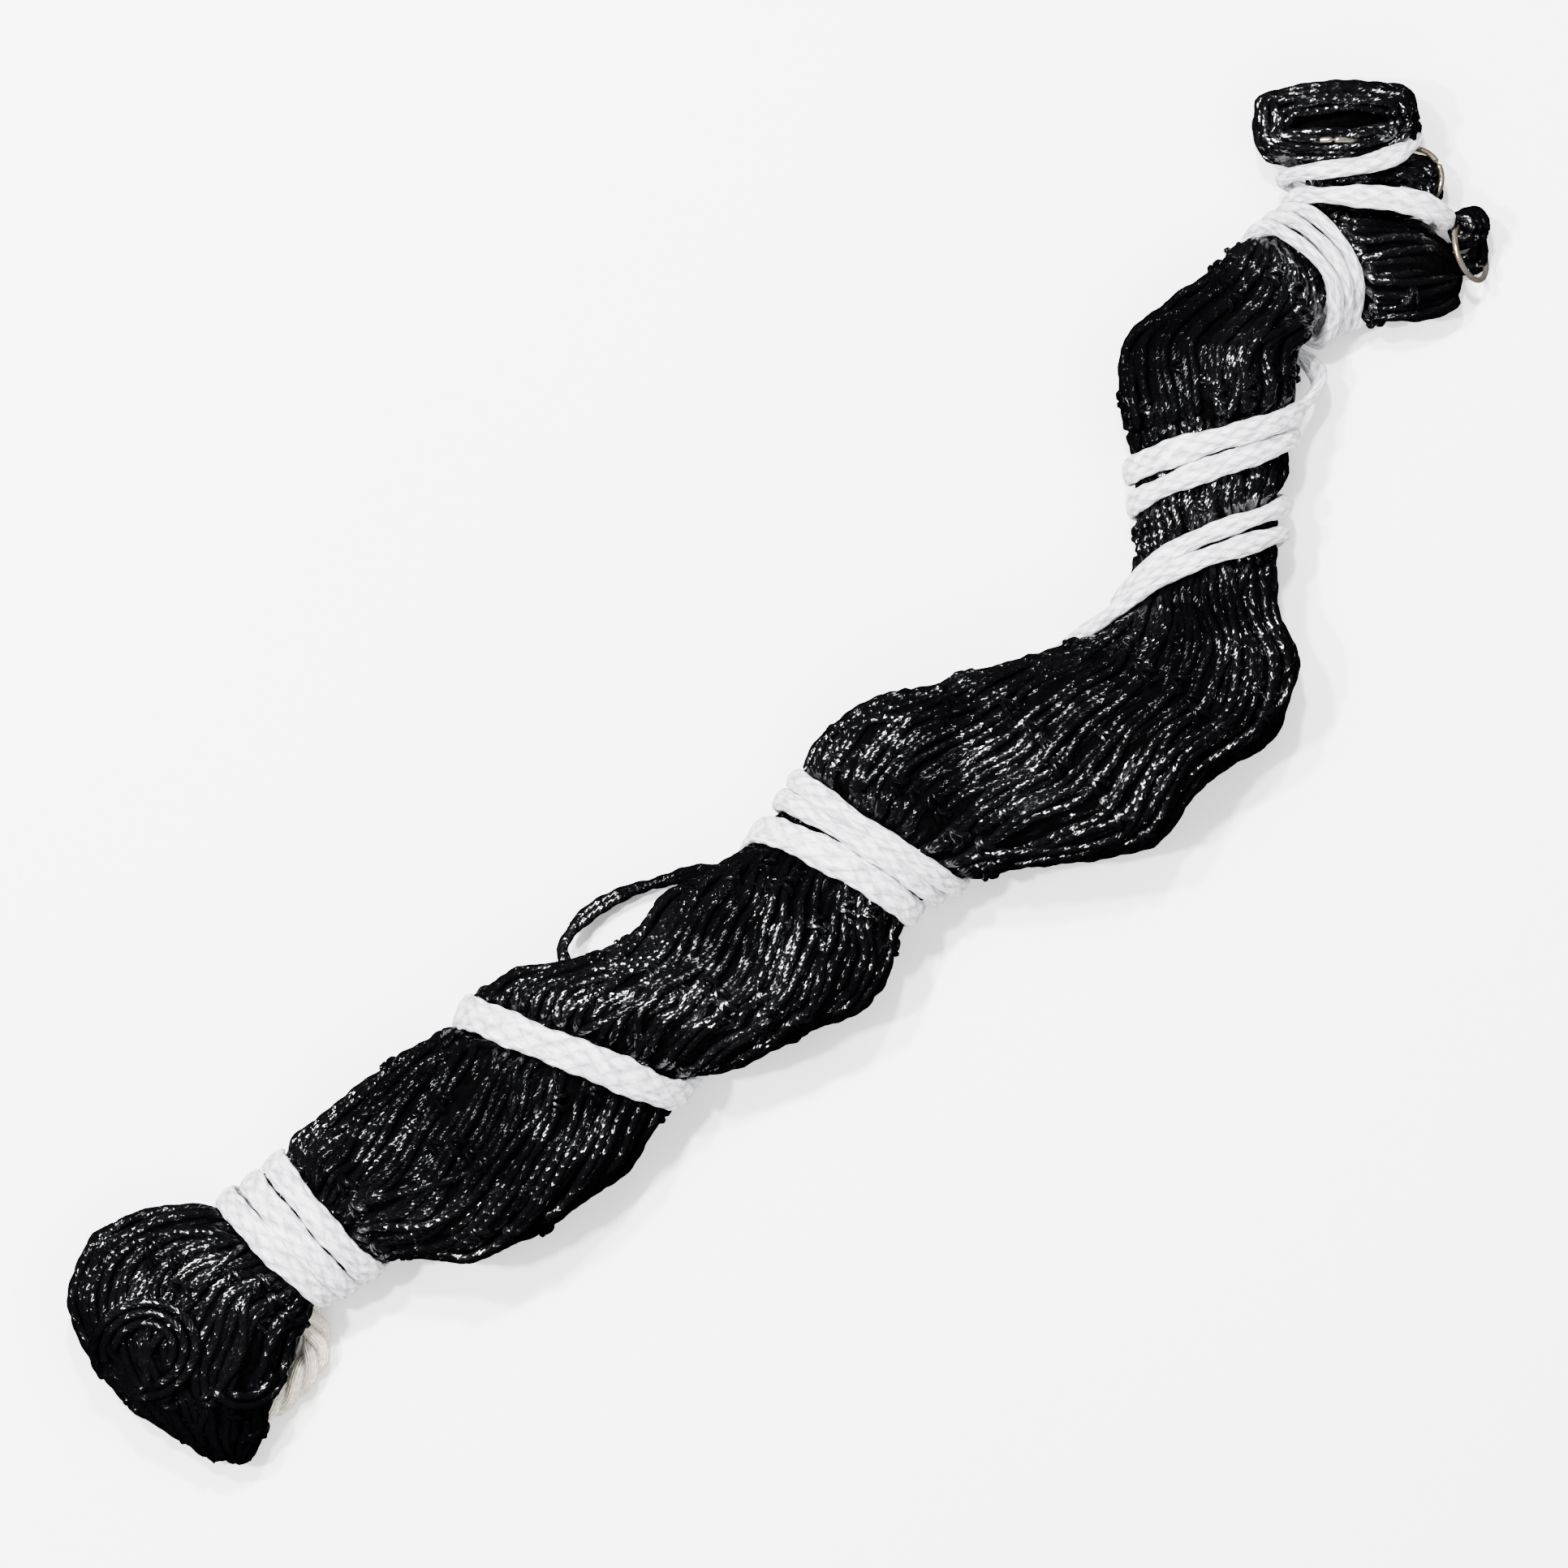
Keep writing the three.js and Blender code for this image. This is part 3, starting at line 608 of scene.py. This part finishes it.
def netting(pieces, skin, count, cuts, twist, sink, step, sides=8, knots=True, loose=1.0,
            ridge=BUNCH_DEPTH):
    """Twines laid side by side along a skin, meeting their neighbours at knots."""
    slope = slope_of(skin, twist)
    base = np.arange(cuts[0], cuts[-1], step)
    around = skin.round_at(base)
    drift = np.concatenate([[0], np.cumsum(np.tan(slope(base[:-1])) / around[:-1] * step)])
    crowd = np.clip(1.9 - 0.9 * around / (count * 2 * TWINE), 0, 1)
    for i in range(count):
        s = base + wander(base, 70 * MM, 1.5 * MM)
        row = i % 2 + 0.12 * rng.standard_normal()
        sway = flow(base, 0.6 * i, 74 * MM, 0.4 * MM) + loose * wander(base, 38 * MM, 0.7 * MM)
        w = (i + SWING * zigzag(base, row)) / count - drift + sway / skin.round_at(s)
        bunch = np.abs(np.sin(np.pi * (BUNCHES * i / count + flow(base, 0, 130 * MM, 0.25))))
        depth = sink + loose * wander(base, 24 * MM, 0.4 * MM) + ridge * (1 - bunch**0.5)
        if i % 4 in (1, 2):
            depth = depth + CROWDED_SINK * crowd
        path, out = skin.place(s, w, depth)
        path = under_cord(path, out)
        lay(pieces, cuts, base, path, out, sides)
        if knots and i % 2 == 0:
            add_knots(pieces, cuts, path, out, row, step)


def strays(pieces, skin, cuts, twist, count=9, step=1.5 * MM, inset=6 * MM):
    """A few looser twines that stray across the others."""
    slope = slope_of(skin, twist)
    base = np.arange(cuts[0] + inset, cuts[-1] - inset, step)
    around = skin.round_at(base)
    for i in range(count):
        turn = np.cumsum(np.tan(slope(base) * rng.uniform(-0.2, 0.9)) / around * step)
        start = (i + rng.uniform(-0.3, 0.3)) / count
        w = start - turn + wander(base, 95 * MM, 6 * MM) / around
        depth = SINK - 1.2 * MM + np.abs(wander(base, 60 * MM, 2.4 * MM))
        path, out = skin.place(base, w, depth)
        lay(pieces, cuts, base, under_cord(path, out), out)


def under_cord(path, out, gap=0.2 * MM, beside=3 * MM, ease=2.5 * MM):
    """A twine's path pressed down where a pass of the tie cord lies over it, easing off beside it."""
    sunk = path.copy()
    for k, (point, way) in enumerate(zip(path, out)):
        middle, index, distance = CORD_TREE.find(Vector(point))
        share = np.clip((CORD_WIDTH[index] / 2 + beside - distance) / ease, 0, 1)
        height = float((point - np.array(middle)) @ CORD_OUT[index])
        over = height + TWINE + CORD_THICK[index] / 2 + gap
        if share > 0 and over > 0 and way @ CORD_OUT[index] > 0:
            sunk[k] = point - CORD_OUT[index] * over * share
    return sunk


# ---- Materials ----
def shader(name):
    """A new node material: a helper that adds linked nodes, and one that sets and links the sockets
    of its Principled shader and returns the material."""
    material = bpy.data.materials.new(name)
    material.use_nodes = True
    tree = material.node_tree

    def connect(node, values, links):
        for key, value in values.items():
            node.inputs[key].default_value = value
        for key, source in links.items():
            tree.links.new(source, node.inputs[key])

    def add(kind, values=None, links=None, **settings):
        node = tree.nodes.new(kind)
        for key, value in settings.items():
            setattr(node, key, value)
        connect(node, values or {}, links or {})
        return node

    def surface(values, links):
        connect(tree.nodes["Principled BSDF"], values, links)
        return material

    return add, surface


def uv_parts(add):
    """The length along a strand in mm, and the share of a turn round it."""
    uv = add("ShaderNodeUVMap", uv_map="along")
    split = add("ShaderNodeSeparateXYZ", links={0: uv.outputs[0]})
    return split.outputs[0], split.outputs[1]


def wave(add, u, v, length, turns):
    """sin of a pattern that repeats every length mm along a strand and some times round it."""
    along = maths(add, "MULTIPLY", u, TURN / length)
    around = maths(add, "MULTIPLY", v, TURN * turns)
    return maths(add, "SINE", maths(add, "ADD", along, around), 0)


def maths(add, operation, a, b):
    """One maths node on two sockets or numbers."""
    values = {k: x for k, x in enumerate((a, b)) if isinstance(x, (int, float))}
    links = {k: x for k, x in enumerate((a, b)) if not isinstance(x, (int, float))}
    return add("ShaderNodeMath", values, links, operation=operation).outputs[0]


def ramp(add, source, stops):
    """A colour ramp with (position, colour) stops."""
    node = add("ShaderNodeValToRGB", links={0: source})
    elements = node.color_ramp.elements
    while len(elements) < len(stops):
        elements.new(0.5)
    for element, (position, colour) in zip(elements, stops):
        element.position = position
        element.color = (*colour, 1)
    return node.outputs[0]


def on_piece(add):
    """Coordinates fixed to the piece, whatever way it is turned."""
    return add("ShaderNodeTexCoord").outputs["Object"]


def noise(add, scale, detail, source):
    """Plain noise, at a scale in waves for each unit of the source."""
    return add("ShaderNodeTexNoise", {"Scale": scale, "Detail": detail}, {"Vector": source}).outputs[0]


def strand_noise(add, u, v, along, around):
    """Noise drawn out along a strand: its scale per mm along it, and per turn round it."""
    angle = maths(add, "MULTIPLY", v, TURN)
    across = maths(add, "MULTIPLY", maths(add, "COSINE", angle, 0), around / TURN)
    up = maths(add, "MULTIPLY", maths(add, "SINE", angle, 0), around / TURN)
    along = maths(add, "MULTIPLY", u, along)
    place = add("ShaderNodeCombineXYZ", links={0: along, 1: across, 2: up})
    return noise(add, 1.0, 2, place.outputs[0])


def bump(add, height, strength, distance):
    """Normals bumped by a height of 0 to 1 over some distance."""
    node = add("ShaderNodeBump", {"Strength": strength, "Distance": distance}, {"Height": height})
    return node.outputs[0]


def braid_height(add, u, v, pitch, strands, fibres):
    """The same plaits as braid() in nodes, and the fibres that run along each strand."""
    pitch = pitch / MM
    right = wave(add, u, v, 2 * pitch, strands / 2)
    left = wave(add, u, v, 2 * pitch, -strands / 2)
    over = maths(add, "GREATER_THAN", maths(add, "MULTIPLY", right, left), 0)
    under = maths(add, "SUBTRACT", 1, over)
    right_size, left_size = maths(add, "ABSOLUTE", right, 0), maths(add, "ABSOLUTE", left, 0)

    def chosen(a, b):
        return maths(add, "ADD", maths(add, "MULTIPLY", a, over), maths(add, "MULTIPLY", b, under))

    plait = maths(
        add, "MULTIPLY",
        maths(add, "POWER", chosen(right_size, left_size), PLAIT_LONG),
        maths(add, "POWER", chosen(left_size, right_size), PLAIT_WIDE),
    )
    lines = [wave(add, u, v, pitch / fibres, way * strands * fibres) for way in (-1, 1)]
    return plait, chosen(*lines)


def twine_material(name, shine):
    """Glossy black braided twine: plump plaits of fine filaments, duller in patches."""
    add, surface = shader(name)
    u, v = uv_parts(add)
    plait, lines = braid_height(add, u, v, PLAIT_PITCH, PLAIT_STRANDS, 3)
    height = maths(add, "ADD", plait, maths(add, "MULTIPLY", lines, 0.10))
    place = on_piece(add)
    patches = noise(add, 28, 2, place)
    specks = noise(add, 130, 1, place)
    large = {"From Min": 0.40, "From Max": 0.56, "To Min": 0.05 * shine, "To Max": shine}
    small = {"From Min": 0.40, "From Max": 0.54, "To Min": 0.08}
    level = maths(
        add, "MULTIPLY",
        add("ShaderNodeMapRange", large, {"Value": patches}).outputs[0],
        add("ShaderNodeMapRange", small, {"Value": specks}).outputs[0],
    )
    grain = {"Value": noise(add, 240, 2, place)}
    return surface({"IOR": 1.7}, {
        "Normal": bump(add, height, 1.0, 0.38 * MM),
        "Base Color": ramp(add, patches, [
            (0.3, (0.0006, 0.0006, 0.0008)), (0.75, (0.0018, 0.0018, 0.0022)),
        ]),
        "Specular IOR Level": level,
        "Roughness": add("ShaderNodeMapRange", {"To Min": 0.14, "To Max": 0.20}, grain).outputs[0],
    })


def core_material():
    """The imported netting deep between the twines."""
    add, surface = shader("packed_netting")
    grain = noise(add, 420, 3, on_piece(add))
    return surface({"Roughness": 0.7, "Specular IOR Level": 0.0}, {
        "Normal": bump(add, grain, 0.8, 1.2 * MM),
        "Base Color": ramp(add, grain, [(0.3, (0.0004, 0.0004, 0.0004)), (0.8, (0.001, 0.001, 0.0012))]),
    })


def cord_material():
    """White hollow braid, pulled flat: soft slanted puffs under long satin streaks, with painted shade
    between the puffs and a painted satin sheen along the streaks.
    """
    add, surface = shader("white_hollow_braid")
    u, v = uv_parts(add)
    warped = maths(add, "ADD", u, maths(add, "MULTIPLY", noise(add, 95, 3, on_piece(add)), 6.0))
    right = wave(add, warped, v, 2 * CORD_PITCH / MM, CORD_STRANDS / 2)
    left = wave(add, warped, v, 2 * CORD_PITCH / MM, -CORD_STRANDS / 2)
    puffs = maths(add, "POWER", maths(add, "ABSOLUTE", maths(add, "MULTIPLY", right, left), 0), 0.5)
    streaks = strand_noise(add, u, v, 0.20, 13.0)
    fibres = strand_noise(add, u, v, 0.5, 34.0)
    height = maths(add, "ADD", maths(add, "MULTIPLY", puffs, 0.35), maths(add, "MULTIPLY", streaks, 1.6))
    height = maths(add, "ADD", height, maths(add, "MULTIPLY", fibres, 0.25))
    # Painted shade and sheen: the colour darkens in the hollows between the puffs, lightens on their
    # crests, and brightens along the streaks as a painted satin sheen.
    level = maths(add, "ADD", maths(add, "MULTIPLY", puffs, 0.30), maths(add, "MULTIPLY", streaks, 1.2))
    return surface({"Roughness": 0.45, "Sheen Weight": 0.2, "Sheen Roughness": 0.4}, {
        "Normal": bump(add, height, 1.0, 0.7 * MM),
        "Base Color": ramp(add, level, [
            (0.50, (0.24, 0.24, 0.27)), (0.75, (0.44, 0.44, 0.47)), (1.0, (0.66, 0.66, 0.68)),
        ]),
    })


def rope_material():
    """Cream twisted rope: fine fibres along each strand, and a mottled colour."""
    add, surface = shader("cream_rope")
    u, v = uv_parts(add)
    fibres = wave(add, u, v, 2.2, 16)
    fuzz = noise(add, 700, 4, on_piece(add))
    height = maths(add, "ADD", maths(add, "MULTIPLY", fibres, 0.6), fuzz)
    return surface({"Roughness": 0.38}, {
        "Normal": bump(add, height, 0.8, 0.4 * MM),
        "Base Color": ramp(add, fuzz, [(0.3, (0.42, 0.37, 0.29)), (0.7, (0.74, 0.69, 0.60))]),
    })


def steel_material():
    """Polished steel wire with fine scratches, and golden-brown patches painted in as a reflection of warm
    surroundings.
    """
    add, surface = shader("polished_wire")
    place = on_piece(add)
    stretched = add("ShaderNodeMapping", {"Scale": (1, 1, 6)}, {"Vector": place}).outputs[0]
    scratches = noise(add, 900, 3, stretched)
    # Painted reflection: random golden-brown patches in the colour stand for warm surroundings mirrored in
    # the wire.
    painted_reflection = noise(add, 120, 2, place)
    return surface({"Metallic": 0.92, "Roughness": 0.22}, {
        "Normal": bump(add, scratches, 0.15, 0.1 * MM),
        "Base Color": ramp(add, painted_reflection, [(0.35, (0.55, 0.50, 0.43)), (0.7, (0.42, 0.32, 0.20))]),
    })


def floor_material():
    """A plain pale floor."""
    add, surface = shader("pale_floor")
    tone = noise(add, 3, 2, on_piece(add))
    return surface({"Roughness": 0.9}, {
        "Base Color": ramp(add, tone, [(0.3, (0.86, 0.86, 0.86)), (0.7, (0.88, 0.88, 0.88))]),
    })


# ---- Stage, light and camera ----
PICTURE_ROLL = math.radians(30)  # the bundle's frame lies turned by this in the picture
PICTURE_WIDTH = 483 * MM  # width of the view at the height of the netting's middle
PICTURE_CENTRE = Vector((-1.1, -5.4, 20)) * MM
CAMERA_DISTANCE = 2.4
SENSOR = 36.0
SKY_LIGHT = 1.2
FLOOR_WIDTH = 8
FLOOR_DROP = 0.6 * MM  # keeps the floor clear of the pieces that lie on it
# Lamps: each one's angle round the picture in degrees, their distance from its middle, height and
# width in metres, and power
KEY_LAMPS = ((95, 137.5, 180), 0.85, 1.6, 0.11, 66)
SOFT_LAMPS = ((20, 75, 130, 185, -35, -100), 1.1, 1.5, 0.8, 14)


def stage():
    """The floor and the sky, which the glossy twine does not mirror."""
    bpy.ops.mesh.primitive_plane_add(size=FLOOR_WIDTH, location=(0, 0, -FLOOR_DROP))
    floor = bpy.context.object
    floor.name = "pale_floor"
    floor.data.materials.append(floor_material())
    floor.visible_glossy = False
    world = bpy.data.worlds.new("studio")
    world.use_nodes = True
    world.node_tree.nodes["Background"].inputs[0].default_value = (1, 1, 1, 1)
    world.node_tree.nodes["Background"].inputs[1].default_value = SKY_LIGHT
    bpy.context.scene.world = world
    world.cycles_visibility.glossy = False


def lamp(name, place, size, power, target=(0, 0, 0.02)):
    """A soft round lamp that faces the target."""
    data = bpy.data.lights.new(name, "AREA")
    data.shape = "DISK"
    data.size = size
    data.energy = power
    made = bpy.data.objects.new(name, data)
    made.location = place
    made.rotation_mode = "QUATERNION"
    made.rotation_quaternion = (Vector(target) - Vector(place)).to_track_quat("-Z", "Y")
    bpy.context.scene.collection.objects.link(made)
    return made


def picture(right, up, height):
    """A place given as metres to the right and up in the picture, and above the floor."""
    c, s = math.cos(PICTURE_ROLL), math.sin(PICTURE_ROLL)
    return Vector((right * c + up * s, -right * s + up * c, height))


def lamps(name, row, mirrored):
    """A row of lamps round the picture; glossy surfaces mirror them or not."""
    angles, distance, height, size, power = row
    for k, angle in enumerate(np.radians(angles)):
        place = picture(distance * math.cos(angle), distance * math.sin(angle), height)
        lamp(f"{name}_{k}", place, size, power).visible_glossy = mirrored


def light():
    """A few small lamps from the upper left for the sparkle, and soft ones the twine does not mirror."""
    lamps("key", KEY_LAMPS, True)
    lamps("soft", SOFT_LAMPS, False)


def camera():
    """Straight above the bundle, as in the photograph."""
    data = bpy.data.cameras.new("camera")
    data.sensor_width = SENSOR
    data.lens = SENSOR * CAMERA_DISTANCE / PICTURE_WIDTH
    made = bpy.data.objects.new("camera", data)
    made.location = PICTURE_CENTRE + Vector((0, 0, CAMERA_DISTANCE))
    made.rotation_euler = (0, 0, -PICTURE_ROLL)
    bpy.context.scene.collection.objects.link(made)
    bpy.context.scene.camera = made


# ---- The cord's route, and the looks that pieces share ----
def cord_route():
    """The tie cord's centre line, with its way out, its width and its thickness along it."""
    middle, _, out, width, thick = tube_path("tie_cord")
    path, out, width, thick = resampled(
        spline(middle, 8), 1.0 * MM, spline(out, 8), spline(width, 8)[:, 0], spline(thick, 8)[:, 0]
    )
    return path, unit(out), width, thick


def finder(points):
    """A tree that finds the nearest of the points."""
    tree = KDTree(len(points))
    for index, point in enumerate(points):
        tree.insert(Vector(point), index)
    tree.balance()
    return tree


CORD_PATH, CORD_OUT, CORD_WIDTH, CORD_THICK = cord_route()
CORD_TREE = finder(CORD_PATH)
TWINE_LOOK = twine_material("twine_braid", 1.0)
WORN_LOOK = twine_material("twine_braid_worn", 0.5)
CORE_LOOK = core_material()


# ---- The pieces ----
def make_cord():
    """The lashing: one flat hollow braid, plump and slightly uneven."""
    def relief(u, v):
        return CORD_DEPTH * (braid(u, v, CORD_PITCH, CORD_STRANDS) - PLAIT_MEAN)

    path, out, width, thick = resampled(CORD_PATH, 0.9 * MM, CORD_OUT, CORD_WIDTH, CORD_THICK)
    width = width + wander(lengths(path), 34 * MM, 0.8 * MM)
    tubes = Tubes()
    tubes.add(path, out, width, thick, sides=28, relief=relief, taper=2 * MM)
    dress(tubes.make("lashing_cord"), cord_material(), nodes=["tie_cord"])


def seams(skin, nodes):
    """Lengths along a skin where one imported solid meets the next."""
    trees = []
    for node in nodes:
        points, triangles = welded(node)
        trees.append(BVHTree.FromPolygons(points.tolist(), triangles.tolist()))
    nearest = []
    for row in skin.grid:
        far = [sum(tree.find_nearest(Vector(p))[3] for p in row[::12]) for tree in trees]
        nearest.append(int(np.argmin(far)))
    return [skin.s[nearest.index(k)] for k in range(1, len(nodes)) if k in nearest]


def make_bundle():
    """The gathered netting up to the head: outer twines cut at the lashings, inner ones and a core."""
    nodes = [node for stretch in STRETCHES.values() for node in stretch]
    skin = Skin(nodes, BUNDLE_SPINE)
    count = int(skin.around.max() / STRAND_PITCH)
    count -= count % 4
    meets = dict(zip(nodes[1:], seams(skin, nodes)))
    inside = [meets[stretch[0]] for stretch in list(STRETCHES.values())[1:]]
    cuts = [3 * MM, *inside, skin.length - 3 * MM]
    outer = [Tubes() for _ in STRETCHES]
    netting(outer, skin, count, cuts, TWIST, SINK, 1.35 * MM)
    strays(outer, skin, cuts, TWIST)
    for (name, stretch), tubes in zip(STRETCHES.items(), outer):
        look = WORN_LOOK if name in DULL_STRETCHES else TWINE_LOOK
        dress(tubes.make(name + "_twines"), look, nodes=stretch)
    inner = Tubes()
    netting([inner], skin, count, [cuts[0], cuts[-1]], INNER_TWIST, INNER_SINK, 2.8 * MM, sides=6,
            knots=False, loose=1.6)
    dress(inner.make("bundle_twines_inner"), TWINE_LOOK)
    dress(skin.core("bundle_core", CORE_SINK), CORE_LOOK)
    return skin


def make_rings():
    """Smooth wire rings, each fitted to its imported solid."""
    look = steel_material()
    for node in ("end_ring", "fold_ring", "roll_ring"):
        points, _ = welded(node)
        middle = points.mean(axis=0)
        x, y, axis = np.linalg.svd(points - middle, full_matrices=False)[2]
        far = np.linalg.norm((points - middle) - np.outer((points - middle) @ axis, axis), axis=1)
        radius, wire = (far.max() + far.min()) / 2, (far.max() - far.min()) / 2
        turns = np.linspace(0, TURN, 73)
        out = np.outer(np.cos(turns), x) + np.outer(np.sin(turns), y)
        tubes = Tubes()
        tubes.add(middle + out * radius, out, 2 * wire, 2 * wire, sides=14, taper=0.2 * MM)
        body = "end_ring" if node == "end_ring" else "bundle"
        dress(tubes.make(node + "_wire"), look, body, [node])


def make_rope():
    """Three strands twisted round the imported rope's line."""
    rings = tube_rings("border_rope", 10)
    radius = np.linalg.norm(rings[2] - rings[2].mean(axis=0), axis=1).max() * ROPE_SWELL
    path, = resampled(spline(np.array([ring.mean(axis=0) for ring in rings]), 8), 1.0 * MM)
    forward = unit(np.gradient(path, axis=0))
    side = unit(np.cross(forward, (0, 0, 1)))
    up = np.cross(side, forward)
    strand = radius / (1 + 2 / math.sqrt(3))
    s = lengths(path)
    tubes = Tubes()
    for k in range(3):
        turn = (TURN * (s / ROPE_LAY + k / 3))[:, None]
        out = np.cos(turn) * side + np.sin(turn) * up
        tubes.add(path + out * (radius - strand), out, 2.1 * strand, 2.1 * strand, 14, taper=2 * MM)
    dress(tubes.make("border_rope_strands"), rope_material(), nodes=["border_rope"])


def make_loop():
    """The slack mesh: two twines that hang out of the bundle side by side, and cross."""
    middle, out, side, _, width = tube_path("slack_loop")
    path, side, out = resampled(spline(middle, 8), 1.2 * MM, spline(side, 8), spline(out, 8))
    side, out = unit(side), unit(out)
    turn = (np.pi * lengths(path) / LOOP_CROSSING - 0.4)[:, None]
    tubes = Tubes()
    for sign in (-1, 1):
        gap = sign * (width.mean() / 2 - LOOP_TWINE) * np.cos(turn)
        lift = sign * 0.9 * MM * np.sin(turn)
        twine(tubes, path + side * gap + out * lift, out, LOOP_TWINE, 10)
    dress(tubes.make("slack_loop_twines"), TWINE_LOOK, "slack_loop", ["slack_loop"])


def make_eye():
    """The whipped corner: rings of twine round the free ring's wire, and bights through the ring."""
    joint = next(j for j in frame["joints"] if j["name"] == "end_ring_swing")
    pivot, axis = np.array(joint["pos_m"]), unit(np.array(joint["axis"]))
    low, high = (np.array(c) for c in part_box("corner_eye"))
    lean = (low + high) / 2 - pivot
    lean = lean - axis * (lean @ axis)
    centre = pivot + 0.75 * lean
    x = unit(lean)
    y = np.cross(axis, x)
    turns = np.linspace(0, TURN, 33)
    out = np.outer(np.cos(turns), x) + np.outer(np.sin(turns), y)
    tubes = Tubes()
    for level, radius in EYE_WRAPS:
        lopsided = 0.10 * np.cos(turns + level * 900)  # each wrap bulges to a side of its own
        reach = radius * (1 + lopsided)[:, None]
        twine(tubes, centre + axis * level + out * reach, out)
    for spine in EYE_BIGHTS:
        path, = resampled(spline(np.array(spine) * MM, 12), 1.25 * MM)
        twine(tubes, path, unit(path - centre))
    dress(tubes.make("corner_eye_whipping"), TWINE_LOOK, nodes=["corner_eye"])


def make_curls(skin):
    """Twines that curl on top of the tuft, the inner ones over a shorter arc."""
    tubes = Tubes()
    for (x, y), radius, start, end, count in TUFT_CURLS:
        for k in range(count):
            reach = (radius - CURL_PITCH * k) * MM
            angles = np.radians(np.arange(start + 25 * k, end - 15 * k, 6))
            drawn = np.column_stack([
                x * MM + reach * 1.15 * np.cos(angles), y * MM + reach * np.sin(angles)
            ])
            path, = resampled(on_top(skin, drawn, 0.9 * MM), 1.5 * MM)
            twine(tubes, path, np.tile([0.0, 0.0, 1.0], (len(path), 1)))
    dress(tubes.make("tuft_curls"), TWINE_LOOK)


def on_top(skin, drawn, height):
    """A line drawn from above, laid smoothly at a height over a skin's upper side."""
    path = []
    for spot in drawn:
        near = np.linalg.norm(skin.grid[:, :, :2] - spot, axis=2)
        near = np.where(skin.normals[:, :, 2] > 0.1, near, 1)
        path.append([*spot, skin.grid.reshape(-1, 3)[near.argmin(), 2] + height])
    path = np.array(path)
    path[:, 2] = np.convolve(np.pad(path[:, 2], 2, "edge"), np.ones(5) / 5, "valid")
    return path


def make_head():
    """The three folds of the head: netting over the two lower ones, hanks on the two upper ones."""
    for node, stations in HEAD_SPINES.items():
        skin = Skin([node], stations, columns=64, step=1.5 * MM, reach=40 * MM, rounding=3 * MM)
        tubes = Tubes()
        if node != "net_head_roll":
            count = 4 * max(3, int(skin.around.max() / STRAND_PITCH / 4))
            cuts = [1 * MM, skin.length - 1 * MM]
            netting([tubes], skin, count, cuts, HEAD_TWIST, SINK, 1.25 * MM, ridge=0.4 * MM)
        if node in HANKS:
            hank(tubes, *HANKS[node])
        dress(tubes.make(node + "_twines"), TWINE_LOOK, nodes=[node])
        dress(skin.core(node + "_core", CORE_SINK * HEAD_CORES[node]), CORE_LOOK)


def hank(tubes, x, y, heading, half_length, half_width, wraps, around=110):
    """Long loops of twine, one on top of another, round a hollow in the middle; in mm."""
    along = np.array([math.cos(math.radians(heading)), math.sin(math.radians(heading)), 0])
    side = np.array([-along[1], along[0], 0])
    turns = np.linspace(0, TURN, 121)
    for inset, height in wraps:
        a, b = half_length - inset, half_width - inset
        straight = np.clip(1.3 * np.cos(turns), -1, 1) * (a - b * 0.85)
        bend = np.cos(turns) * b * 0.85
        wide = np.sign(np.sin(turns)) * np.abs(np.sin(turns)) ** 0.8 * b
        loose = [wander(turns / TURN * around, 30, 0.9) for _ in range(3)]
        path = np.array([x, y, height]) + np.outer(straight + bend + loose[0], along)
        path = (path + np.outer(wide + loose[1], side) + np.outer(loose[2], (0, 0, 1))) * MM
        path, = resampled(path, 1.25 * MM)
        twine(tubes, path, unit(path - np.array([x, y, height - 4]) * MM))


camera()
stage()
light()
make_cord()
bundle = make_bundle()
make_curls(bundle)
make_head()
make_rope()
make_loop()
make_eye()
make_rings()
